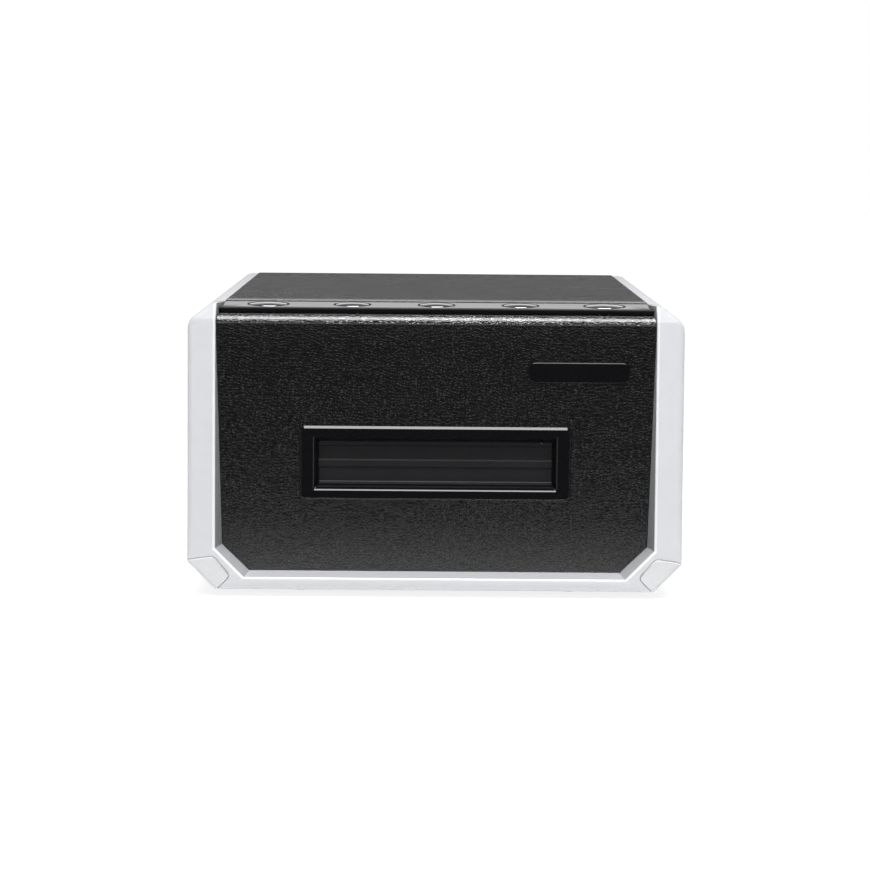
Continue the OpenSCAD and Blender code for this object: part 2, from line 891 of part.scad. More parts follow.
// Frame of the rear slot: a throat inside and a chamber that is open to the rear
module rear_bezel() {
    inner = -7;
    throat = -4.4;
    color([0.06, 0.06, 0.07])
        rear_frame()
            difference() {
                union() {
                    along_y(0, bezel_proud,
                        round_rectangle(bezel_half_width, bezel_half_height, bezel_radius));
                    along_y(inner, eps, [
                        [-tube_half_width, tube_bottom], [tube_half_width, tube_bottom],
                        [tube_half_width, tube_top], [-tube_half_width, tube_top]
                    ]);
                }
                block([-chamber_half_width, throat, chamber_bottom],
                      [chamber_half_width, bezel_proud + 1, chamber_top]);
                block([-throat_width / 2, inner - 1, -throat_height / 2],
                      [throat_width / 2, throat + 1, throat_height / 2]);
                bar_x(-tube_half_width - 1, tube_half_width + 1, rear_flap_y, hinge_drop,
                    flap_pin_radius + 0.02);
            }
}

module rear_flap() {
    color([0.1, 0.1, 0.11])
        rear_frame()
            translate([0, rear_flap_y - hinge_depth + 0.2, 0])
                difference() {
                    union() {
                        block([-flap_half_width, 2.5, flap_bottom], [flap_half_width, 4.3, hinge_drop]);
                        bar_x(-flap_half_width, 31, hinge_depth - 0.2, hinge_drop, hinge_radius - 0.2);
                    }
                    bar_x(-50, 50, hinge_depth - 0.2, hinge_drop, flap_pin_radius + running_gap);
                    block([31, 1, hinge_drop - 2.4], [flap_half_width + 1, 8, 12]);
                }
}

module rear_flap_spring() {
    color([0.6, 0.6, 0.62])
        rear_frame()
            translate([0, rear_flap_y - hinge_depth, 0])
                flap_spring(hinge_depth - 0.1);
}

// Pins of both flaps and of the pinch frame
module pivot_pins() {
    color([0.7, 0.7, 0.72]) {
        on_panel(0, slot_centre)
            bar_x(-tube_half_width + 0.4, tube_half_width - 0.4, hinge_depth, hinge_drop, flap_pin_radius);
        rear_frame()
            bar_x(-tube_half_width + 0.4, tube_half_width - 0.4, rear_flap_y, hinge_drop, flap_pin_radius);
        bar_x(-wall_out - 0.8, wall_out + 0.8, pinch_pivot_y, pinch_pivot_z, pinch_pin_radius);
    }
}

usb_low = [62, 20];
usb_high = [74.2, 31];
inlet_low = [62, 42];
inlet_high = [71.4, 53];

module rear_panel() {
    x1 = half_width - shell_wall - 0.2;
    color([0.11, 0.11, 0.12])
        difference() {
            along_y(rear_panel_y - rear_panel_thickness, rear_panel_y, [
                [x1, corner_top + 1.4], [x1, cut_low_z - 3.7], [half_width - 4, cut_low_z - 0.9],
                [half_width - top_cut_run - 2.6, top_low_z - 0.2],
                [-half_width + top_cut_run + 2.6, top_low_z - 0.2],
                [-half_width + 4, cut_low_z - 0.9], [-x1, cut_low_z - 3.7], [-x1, corner_top + 1.4],
                [-half_width + bottom_cut + 1.4, ground_gap + shell_wall + 0.3],
                [half_width - bottom_cut - 1.4, ground_gap + shell_wall + 0.3]
            ]);
            rear_frame()
                along_y(-8, 8, tube_hole());
            block([usb_low[0] - 0.2, 110, usb_low[1] - 0.2], [usb_high[0] + 0.2, 140, usb_high[1] + 0.2]);
            block([inlet_low[0] - 0.2, 110, inlet_low[1] - 0.2],
                  [inlet_high[0] + 0.2, 140, inlet_high[1] + 0.2]);
            // Lock slot
            block([-75, 110, 20], [-68, 140, 23.2]);
            // Vent slots
            for (x = [-60:5:60])
                block([x - 1, 110, 74], [x + 1, 140, 88]);
        }
}

// Square data socket with its tongue
module usb_socket() {
    cx = (usb_low[0] + usb_high[0]) / 2;
    cz = (usb_low[1] + usb_high[1]) / 2;
    color([0.72, 0.72, 0.74])
        difference() {
            block([usb_low[0], 110, usb_low[1]], [usb_high[0], rear_panel_y + 0.6, usb_high[1]]);
            difference() {
                along_y(118, 140, [
                    [cx - 4.2, cz - 3.9], [cx + 4.2, cz - 3.9], [cx + 4.2, cz + 2],
                    [cx + 2.6, cz + 3.9], [cx - 2.6, cz + 3.9], [cx - 4.2, cz + 2]
                ]);
                block([cx - 2.8, 117, cz - 1.6], [cx + 2.8, 125.5, cz + 1.6]);
            }
        }
}

// Round power socket with its centre pin
module power_inlet() {
    cx = (inlet_low[0] + inlet_high[0]) / 2;
    cz = (inlet_low[1] + inlet_high[1]) / 2;
    color([0.06, 0.06, 0.06])
        difference() {
            block([inlet_low[0], 112, inlet_low[1]], [inlet_high[0], rear_panel_y + 0.6, inlet_high[1]]);
            difference() {
                bar_y(117, 140, cx, cz, 3.2);
                bar_y(116, 125.4, cx, cz, 1);
            }
        }
}

// ---------- chassis and film path ----------

bridge_screw_places = [[-56, -8], [-56, 8], [56, -8], [56, 8]];
board_post_places = [[-20, 20], [-20, 70], [95, 20], [95, 70]];
rail_foot_places = [-80, -4, 72];
motor_screw_reach = 10;

module screw() {
    cylinder(h = screw_head, r = screw_head_radius);
    translate([0, 0, screw_head - eps])
        cylinder(h = 5, r = screw_radius);
}

module screws() {
    color([0.66, 0.66, 0.68]) {
        // Under the base, into the chassis
        for (p = base_screw_places)
            translate([p[0], p[1], ground_gap + 0.4])
                screw();
        // Lamp bridge
        for (p = bridge_screw_places)
            translate([p[0], p[1], wall_top + bridge_thickness + screw_head])
                rotate([180, 0, 0])
                    screw();
        // Main board
        for (p = board_post_places)
            translate([board_face_x + screw_head, p[0], p[1]])
                rotate([0, -90, 0])
                    screw();
        // Motor, from outside the left wall
        for (side = [-1, 1])
            translate([-wall_out - screw_head, motor_y, motor_z + side * motor_screw_reach])
                rotate([0, 90, 0])
                    screw();
    }
}

// Pressed tray with two upright walls
module chassis() {
    color([0.55, 0.56, 0.58])
        difference() {
            union() {
                block([-66, -108, floor_z], [66, 112, floor_z + floor_thickness]);
                for (side = [-1, 1])
                    block([side * wall_mid - 1.5, wall_front, floor_z + floor_thickness - eps],
                          [side * wall_mid + 1.5, wall_rear, wall_top]);
                // Ledges for the lamp bridge
                for (side = [-1, 1])
                    block([side * 56 - 3.2, -13, wall_top - 3], [side * 56 + 3.2, 13, wall_top]);
                // Posts for the main board
                for (p = board_post_places)
                    bar_x(wall_out - eps, board_x, p[0], p[1], 3);
            }
            for (p = base_screw_places)
                bar_z(0, 20, p[0], p[1], screw_radius);
            for (p = bridge_screw_places)
                bar_z(60, 80, p[0], p[1], screw_radius);
            for (p = board_post_places)
                bar_x(54.5, board_x + 10, p[0], p[1], screw_radius);
            // Bush seats
            for (y = [-roller_y, roller_y])
                bar_x(-60, 60, y, feed_axis_z, bush_radius);
            // Gear posts
            bar_x(-60, -40, 0, feed_axis_z, post_radius);
            bar_x(-60, -40, compound_y, compound_z, post_radius);
            // Motor boss and screws
            bar_x(-60, -40, motor_y, motor_z, 4.2);
            for (side = [-1, 1])
                bar_x(-60, -40, motor_y, motor_z + side * motor_screw_reach, screw_radius);
            // Pinch frame pin
            bar_x(-60, 60, pinch_pivot_y, pinch_pivot_z, pinch_pin_radius);
            // Lightening windows
            block([-60, -80, 16], [60, -34, 38]);
            block([-60, 76, 16], [60, 98, 38]);
            block([-60, 20, 56], [60, 90, 63]);
            block([-60, -84, 50], [60, -60, 63]);
            // Floor openings
            block([-44, -60, 0], [-26, 20, 20]);
            block([26, -60, 0], [44, 60, 20]);
        }
}

// C-shaped rail on the right that guides one edge of the film holder
module guide_rail() {
    low = film_plane - 3.4;
    high = film_plane + 3.4;
    difference() {
        union() {
            along_y(-rail_end, rail_end, [
                [rail_lip_x, low - 2.3], [rail_half + rail_web, low - 2.3],
                [rail_half + rail_web, high + 2.1], [rail_lip_x, high + 2.1], [rail_lip_x, high],
                [rail_half, high], [rail_half, low], [rail_lip_x, low]
            ]);
            for (y = rail_foot_places)
                block([rail_half + rail_web - 0.1, y, 45], [wall_in, y + 8, 48]);
        }
        // Flared mouths at both ends
        for (end = [-1, 1])
            along_x(30, rail_half, [
                [end * (rail_end - 6), film_plane], [end * (rail_end + 1), low - 1.6],
                [end * (rail_end + 1), high + 1.4]
            ]);
    }
}

module left_guide_rail() {
    color([0.14, 0.14, 0.15])
        mirror([1, 0, 0])
            guide_rail();
}

module right_guide_rail() {
    color([0.14, 0.14, 0.15])
        guide_rail();
}

module shaft_bushes() {
    color([0.75, 0.6, 0.3])
        for (side = [-1, 1])
            for (y = [-roller_y, roller_y])
                difference() {
                    union() {
                        bar_x(side * wall_mid - 1.5, side * wall_mid + 1.5, y, feed_axis_z, bush_radius);
                        bar_x(side * (wall_in - 0.5) - 0.5, side * (wall_in - 0.5) + 0.5, y,
                            feed_axis_z, bush_radius + 1.5);
                    }
                    bar_x(-60, 60, y, feed_axis_z, feed_shaft_radius + running_gap);
                }
}

// Posts that carry the idler and the compound gear
module gear_posts() {
    color([0.68, 0.68, 0.7])
        for (p = [[0, feed_axis_z], [compound_y, compound_z]]) {
            bar_x(-67, -wall_in, p[0], p[1], post_radius);
            bar_x(-67.8, -67 + eps, p[0], p[1], post_radius + 1.2);
        }
}

// Plain can with a bored boss for the pinion's shaft
module feed_motor() {
    color([0.62, 0.62, 0.64])
        difference() {
            union() {
                bar_x(motor_left, motor_right, motor_y, motor_z, motor_radius);
                bar_x(-52.4, motor_left + eps, motor_y, motor_z, 4.1);
            }
            bar_x(-60, -36, motor_y, motor_z, motor_shaft_radius + running_gap);
            for (side = [-1, 1])
                bar_x(motor_left - 1, motor_left + 4, motor_y, motor_z + side * motor_screw_reach,
                    screw_radius);
        }
}

// ---------- gears ----------

function involute_angle(r, base) = r <= base ? 0 : (sqrt(pow(r / base, 2) - 1) * 180 / PI
    - acos(base / r));

// Half the angle a tooth spans at radius r
function half_tooth(r, teeth) =
    let (
        pitch = gear_module * teeth / 2,
        base = pitch * cos(pressure_angle),
        at_pitch = 90 / teeth - tooth_slack / pitch * 180 / PI
    )
    at_pitch + involute_angle(pitch, base) - involute_angle(max(r, base), base);

// Outline of a gear with involute teeth; tooth zero points along angle phase
function gear_points(teeth, phase) =
    let (
        pitch = gear_module * teeth / 2,
        tip = pitch + gear_module * 0.92,
        root = pitch - gear_module * 1.2,
        base = max(pitch * cos(pressure_angle), root + 0.05),
        radii = [root, base, base + (tip - base) * 0.35, base + (tip - base) * 0.7, tip]
    )
    [for (k = [0:teeth - 1])
        for (j = [0:9])
            let (
                left = j < 5,
                r = left ? radii[j] : radii[9 - j],
                half = half_tooth(r, teeth),
                a = phase + 360 * k / teeth + (left ? -half : half)
            )
            [r * cos(a), r * sin(a)]];

// Gear between x0 and x1 with its axis along X at [y, z]
module gear(x0, x1, y, z, teeth, phase) {
    along_x(x0, x1, [for (p = gear_points(teeth, phase)) [p[0] + y, p[1] + z]]);
}

module motor_pinion() {
    color([0.8, 0.66, 0.35]) {
        gear(wheel_left - 0.5, wheel_right + 0.5, motor_y, motor_z, pinion_teeth, pinion_phase);
        bar_x(wheel_left - 1, -37, motor_y, motor_z, motor_shaft_radius);
    }
}

module compound_gear() {
    color([0.88, 0.87, 0.82])
        difference() {
            union() {
                gear(gear_left, gear_right, compound_y, compound_z, small_wheel_teeth, small_phase);
                gear(wheel_left, wheel_right, compound_y, compound_z, large_wheel_teeth, large_phase);
                bar_x(gear_right - eps, wheel_left + eps, compound_y, compound_z, 5.5);
                bar_x(wheel_right - eps, -53.3, compound_y, compound_z, 3.4);
            }
            bar_x(-80, -40, compound_y, compound_z, post_radius + running_gap);
        }
}

module idler_gear() {
    color([0.88, 0.87, 0.82])
        difference() {
            union() {
                gear(gear_left, gear_right, 0, feed_axis_z, idler_teeth, idler_phase);
                bar_x(gear_right - eps, -53.3, 0, feed_axis_z, 4);
            }
            bar_x(-80, -40, 0, feed_axis_z, post_radius + running_gap);
        }
}

// Shaft with its gear on the left end
module feed_shaft(y, phase) {
    bar_x(gear_left - 1, 52.6, y, feed_axis_z, feed_shaft_radius);
    gear(gear_left, gear_right, y, feed_axis_z, feed_gear_teeth, phase);
    bar_x(gear_right - eps, -53.5, y, feed_axis_z, 4);
}

module front_feed_shaft() {
    color([0.85, 0.84, 0.8])
        feed_shaft(-roller_y, front_feed_phase);
}

module rear_feed_shaft() {
    color([0.85, 0.84, 0.8])
        feed_shaft(roller_y, rear_feed_phase);
}

// Two rubber rollers that grip the underside of the holder
module feed_rollers(y) {
    for (side = [-1, 1])
        difference() {
            bar_x(side * roller_mid - roller_half, side * roller_mid + roller_half, y,
                feed_axis_z, feed_roller_radius);
            bar_x(-60, 60, y, feed_axis_z, feed_shaft_radius);
        }
}

module front_feed_rollers() {
    color([0.1, 0.1, 0.1])
        feed_rollers(-roller_y);
}

module rear_feed_rollers() {
    color([0.1, 0.1, 0.1])
        feed_rollers(roller_y);
}

// Frame that presses both upper rollers on the holder
module pinch_frame() {
    color([0.18, 0.18, 0.19])
        difference() {
            union() {
                both_sides()
                    along_x(43.5, 46.5, [
                        [-53, 57], [-50, 66], [26, 66], [38, 62], [38, 57.6],
                        [roller_y + 6, 51.2], [roller_y - 6, 51.2], [10, 57.6], [-10, 57.6],
                        [-roller_y + 6, 51.2], [-roller_y - 6, 51.2], [-40, 57]
                    ]);
                block([-43.6, -43, 57.6], [43.6, -39, 61]);
                block([-43.6, 33, 57.8], [43.6, 37, 61]);
            }
            bar_x(-60, 60, pinch_pivot_y, pinch_pivot_z, pinch_pin_radius + running_gap);
            for (y = [-roller_y, roller_y])
                bar_x(-60, 60, y, pinch_axis_z, pinch_shaft_radius + running_gap);
        }
}

// Torsion spring round the pinch pin, with one leg on the frame's cross bar
module pinch_spring() {
    color([0.6, 0.6, 0.62]) {
        for (k = [0:11])
            translate([20 + k * 0.95, pinch_pivot_y, pinch_pivot_z])
                rotate([0, 90, 0])
                    rotate_extrude()
                        translate([2.3, 0])
                            circle(r = 0.5, $fn = 16);
        block([19.6, pinch_pivot_y, pinch_pivot_z + 1.9],
              [20.4, pinch_pivot_y + 6.6, pinch_pivot_z + 2.7]);
        block([19.6, pinch_pivot_y + 5.8, pinch_pivot_z - 1],
              [20.4, pinch_pivot_y + 6.6, pinch_pivot_z + 2.7]);
    }
}

// Shaft with two rollers that presses on the top of the holder
module pinch_rollers(y) {
    bar_x(-46.4, 46.4, y, pinch_axis_z, pinch_shaft_radius);
    for (side = [-1, 1])
        bar_x(side * roller_mid - roller_half, side * roller_mid + roller_half, y,
            pinch_axis_z, pinch_roller_radius);
}

module front_pinch_rollers() {
    color([0.16, 0.16, 0.17])
        pinch_rollers(-roller_y);
}

module rear_pinch_rollers() {
    color([0.16, 0.16, 0.17])
        pinch_rollers(roller_y);
}

// ---------- lamp and optics ----------

// Lamp box that hangs from a bridge between the two walls
module lamp_housing() {
    color([0.2, 0.2, 0.21])
        difference() {
            union() {
                block([-lamp_half_x, -lamp_half_y, lamp_low], [lamp_half_x, lamp_half_y, wall_top + eps]);
                block([-59, -12, wall_top], [59, 12, wall_top + bridge_thickness]);
            }
            block([-lamp_half_x + 2, -lamp_half_y + 2, lamp_low - 1],
                  [lamp_half_x - 2, lamp_half_y - 2, wall_top - 1]);
            for (p = bridge_screw_places)
                bar_z(60, 80, p[0], p[1], screw_radius);
        }
}

module led_board() {
    color([0.9, 0.9, 0.88]) {
        block([-22.5, -7.5, wall_top - 2.6], [22.5, 7.5, wall_top - 1]);
        for (x = [-18:6:18])
            block([x - 1.6, -1.6, wall_top - 3.4], [x + 1.6, 1.6, wall_top - 2.6 + eps]);
    }
}

module diffuser() {
    color([0.95, 0.95, 0.93])
        block([-22.9, -7.9, lamp_low], [22.9, 7.9, lamp_low + 2]);
}

// Dark tunnel below the film window for the mirror, the lens and the sensor
module optics_housing() {
    outer_half_x = tunnel_half + tunnel_wall;
    color([0.13, 0.13, 0.14])
        difference() {
            union() {
                block([-outer_half_x, -95, floor_z + floor_thickness],
                      [outer_half_x, 13, tunnel_roof + 1.2]);
                block([-outer_half_x, -10, tunnel_roof], [outer_half_x, 10, 41.2]);
            }
            // Tunnel on both sides of the lens wall, and the shaft below the film window
            block([-tunnel_half, -54, tunnel_floor], [tunnel_half, 11, tunnel_roof]);
            block([-tunnel_half, -95.5, tunnel_floor], [tunnel_half, -60, tunnel_roof]);
            block([-tunnel_half, -8, tunnel_roof - 1], [tunnel_half, 8, 39.4]);
            block([-18, -2.5, 39], [18, 2.5, 42]);
            bar_y(-61, -53, 0, optical_z, lens_radius);
        }
}

// Mirror that turns the light from the film toward the lens
module scan_mirror() {
    color([0.8, 0.82, 0.85])
        translate([0, 0, optical_z])
            rotate([45, 0, 0])
                block([-tunnel_half, -11, -1], [tunnel_half, 11, 0.8]);
}

module lens_barrel() {
    color([0.08, 0.08, 0.09])
        difference() {
            union() {
                bar_y(-66, -46, 0, optical_z, lens_radius);
                bar_y(-53.9, -50, 0, optical_z, lens_radius + 0.8);
            }
            bar_y(-70, -40, 0, optical_z, 5.6);
            bar_y(-60, -56, 0, optical_z, 6.6);
        }
}

// Biconvex lens held in the barrel's groove
module lens() {
    color([0.75, 0.85, 0.9])
        translate([0, -58, optical_z])
            rotate([90, 0, 0])
                rotate_extrude()
                    polygon([[0, -1.9], [3, -1.7], [5.5, -1.1], [6.6, -0.9], [6.6, 0.9], [5.5, 1.1],
                        [3, 1.7], [0, 1.9]]);
}

module sensor_board() {
    color([0.1, 0.35, 0.2])
        block([-26, -96.8, 11], [26, -95.2, 34]);
}

module image_sensor() {
    color([0.12, 0.12, 0.13])
        block([-17, -95.2, 17.5], [17, -92.4, 25.5]);
}

module main_board() {
    color([0.1, 0.35, 0.2])
        difference() {
            block([board_x, -30, 13], [board_face_x, 112, 78]);
            for (p = board_post_places)
                bar_x(board_x - 5, board_x + 10, p[0], p[1], screw_radius);
        }
}

module main_board_parts() {
    color([0.1, 0.1, 0.11])
        translate([board_face_x, 0, 0]) {
            // Chips
            block([0, 4, 40], [1.6, 24, 60]);
            block([0, 34, 44], [1.3, 44, 58]);
            block([0, 54, 30], [1.3, 68, 38]);
            // Plug for the cables, capacitors and power module
            block([0, -14, 50], [5, -8, 70]);
            for (y = [80, 90])
                bar_x(0, 11.4, y, 60, 4);
            bar_x(0, 7.4, 72, 62, 3);
            block([0, 84, 27], [5.4, 104, 41]);
        }
}

module button_board() {
    color([0.1, 0.35, 0.2])
        on_strip(0)
            block([-70, -5, board_top - board_thickness], [70, 5, board_top]);
}

module tact_switches() {
    color([0.15, 0.15, 0.16])
        for (i = [-2:2])
            on_strip(i * button_pitch)
                difference() {
                    block([-3, -3, board_top], [3, 3, switch_top]);
                    bar_z(-6.4, 0, 0, 0, 1.4);
                }
}

// Flat cables from the sensor board and from the button board to the main board
module ribbon_cables() {
    thick = 0.5;
    color([0.85, 0.85, 0.82]) {
        along_z(16, 28, [
            [26, -96.5], [56, -96.5], [59, -92], [60, -88], [60.9, -60], [60.9, -30],
            [60.9 - thick, -30], [60.9 - thick, -60], [60 - thick, -87.8], [58.7 - thick, -91.8],
            [55.8, -96.5 + thick], [26, -96.5 + thick]
        ]);
        along_x(61.6, 69, [
            [-118, 93.4], [-100, 92], [-60, 86], [-24, 72], [-24, 72 - 2 * thick], [-60.4, 86 - thick],
            [-100.2, 92 - thick], [-118, 93.4 - thick]
        ]);
    }
}

// Optical switches that look up at the notches in the holder
module holder_sensors() {
    color([0.09, 0.09, 0.1])
        for (y = [-76, 66])
            difference() {
                block([42.5, y, 35], [wall_in, y + 12, 44.9]);
                block([44.5, y + 4, 40], [48, y + 8, 46]);
            }
}

front_surround();
left_side_shell();
right_side_shell();
corner_bumpers();
base_pan();
rubber_feet();
top_cover();
top_leatherette();
front_cover();
front_leatherette();
button_strip();
badge_plate();
slot_bezel();
rear_panel();
rear_bezel();
pivot_pins();
usb_socket();
power_inlet();
screws();
power_button();
load_button();
eject_button();
quick_scan_button();
custom_scan_button();
front_flap();
front_flap_spring();
rear_flap();
rear_flap_spring();
chassis();
left_guide_rail();
right_guide_rail();
shaft_bushes();
gear_posts();
feed_motor();
motor_pinion();
compound_gear();
idler_gear();
front_feed_shaft();
front_feed_rollers();
rear_feed_shaft();
rear_feed_rollers();
pinch_frame();
pinch_spring();
front_pinch_rollers();
rear_pinch_rollers();
lamp_housing();
led_board();
diffuser();
optics_housing();
scan_mirror();
lens_barrel();
lens();
sensor_board();
image_sensor();
main_board();
main_board_parts();
button_board();
tact_switches();
ribbon_cables();
holder_sensors();
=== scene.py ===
"""Looks of a compact film scanner: silver frame, black leatherette covers and chrome buttons.

Sizes in the classes are millimetres in the part's own frame: +X is the right side seen from
the front, +Y is the rear and +Z is up. Meshes are written in metres at the same place.
"""

import json
import logging
import math
from collections.abc import Iterator
from contextlib import contextmanager
from dataclasses import dataclass, field
from enum import Enum

import bmesh
import bpy
import numpy as np
from mathutils import Matrix, Vector

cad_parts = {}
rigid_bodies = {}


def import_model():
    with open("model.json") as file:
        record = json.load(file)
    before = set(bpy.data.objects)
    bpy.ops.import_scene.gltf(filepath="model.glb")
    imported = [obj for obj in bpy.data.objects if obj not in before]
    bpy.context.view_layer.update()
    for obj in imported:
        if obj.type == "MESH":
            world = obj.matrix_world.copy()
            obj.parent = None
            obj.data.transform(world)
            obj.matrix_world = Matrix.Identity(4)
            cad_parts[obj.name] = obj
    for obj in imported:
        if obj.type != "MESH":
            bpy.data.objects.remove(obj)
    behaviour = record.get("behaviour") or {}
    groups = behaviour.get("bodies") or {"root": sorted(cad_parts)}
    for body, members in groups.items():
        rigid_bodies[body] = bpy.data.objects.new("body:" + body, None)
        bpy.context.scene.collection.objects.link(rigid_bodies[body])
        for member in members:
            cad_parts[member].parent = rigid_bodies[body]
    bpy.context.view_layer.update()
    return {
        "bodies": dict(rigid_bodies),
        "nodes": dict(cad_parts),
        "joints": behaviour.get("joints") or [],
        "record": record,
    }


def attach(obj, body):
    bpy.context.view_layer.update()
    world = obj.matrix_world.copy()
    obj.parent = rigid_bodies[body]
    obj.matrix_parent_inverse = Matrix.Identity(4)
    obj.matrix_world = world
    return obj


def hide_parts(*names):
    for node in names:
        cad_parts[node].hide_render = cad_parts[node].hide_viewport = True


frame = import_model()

MM = 0.001
MERGE_DISTANCE = 0.002  # millimetres
SHORTEST_EDGE = 0.001  # millimetres
FLAT_ANGLE = 0.6  # degrees
# point attribute of painted light: above zero a painted highlight, below zero painted shade
PAINTED_LIGHT_ATTRIBUTE = "painted_light_and_shade"
LOG = logging.getLogger("film_scanner")
Color = tuple[float, float, float]
Shape = tuple[np.ndarray, np.ndarray]  # points and faces


class Slot(Enum):
    """Material slots of the part's record."""

    SILVER = "silver_plastic"
    BUMPER = "bumper_plastic"
    BLACK = "black_plastic"
    LEATHER = "leatherette"
    GLOSS = "gloss_black"
    RUBBER = "rubber"
    STEEL = "steel"
    SHEET_STEEL = "sheet_steel"
    CHROME = "chrome"
    BRASS = "brass"
    GEAR = "gear_plastic"
    BOARD = "circuit_board"
    COMPONENT = "component_black"
    WHITE = "white_plastic"
    MIRROR = "mirror"
    LENS = "lens_glass"
    CABLE = "cable"


# ---------- node trees ----------


class Tree:
    """Short hand for making and joining nodes in a material or a node group."""

    def __init__(self, tree: bpy.types.NodeTree) -> None:
        """Wraps a tree.

        Args:
            tree: the node tree that new nodes go into.
        """
        self.tree = tree

    def node(self, kind: str, inputs: dict[int | str, object] | None = None,
             **settings: object) -> bpy.types.Node:
        """Adds a node.

        Args:
            kind: the node's type without its ShaderNode prefix.
            inputs: what its inputs are fed with, by number or by name.
            settings: attributes of the node, which are set first.

        Returns:
            The new node.
        """
        made = self.tree.nodes.new("ShaderNode" + kind)
        for key, value in settings.items():
            setattr(made, key, value)
        for key, value in (inputs or {}).items():
            self.feed(made.inputs[key], value)
        return made

    def feed(self, socket: bpy.types.NodeSocket, value: object) -> None:
        """Links a socket to an output, or sets its own value.

        Args:
            socket: the input that is fed.
            value: an output socket, a number or a tuple.
        """
        if isinstance(value, bpy.types.NodeSocket):
            self.tree.links.new(value, socket)
        else:
            socket.default_value = value

    def math(self, operation: str, *values: object) -> bpy.types.NodeSocket:
        """Adds a Math node and returns its output."""
        return self.node("Math", dict(enumerate(values)), operation=operation).outputs[0]

    def remap(self, value: object, start: tuple[float, float],
              end: tuple[float, float]) -> bpy.types.NodeSocket:
        """Maps a value from one range to another, held at both ends.

        Args:
            value: the value that is mapped.
            start: the range it comes from.
            end: the range it goes to.

        Returns:
            The mapped value.
        """
        return self.node("MapRange", dict(enumerate((value, *start, *end)))).outputs[0]

    def noise(self, vector: object, scale: object, detail: float) -> bpy.types.NodeSocket:
        """Adds a Noise Texture and returns its factor."""
        made = self.node("TexNoise", {"Vector": vector, "Scale": scale, "Detail": detail})
        return made.outputs["Fac"]

    def blend(self, factor: object, low: object, high: object) -> bpy.types.NodeSocket:
        """Mixes two colours.

        Args:
            factor: 0 gives low and 1 gives high.
            low: a colour or an output.
            high: a colour or an output.

        Returns:
            The mixed colour.
        """
        return self.node("Mix", {0: factor, 6: low, 7: high}, data_type="RGBA").outputs[2]


class Effect(Enum):
    """Surface effects that several materials share, each one node group."""

    MOULD_GRAIN = "mould_grain"
    PEBBLES = "pebbles"
    BRUSH_LINES = "brush_lines"
    HANDLING = "handling"


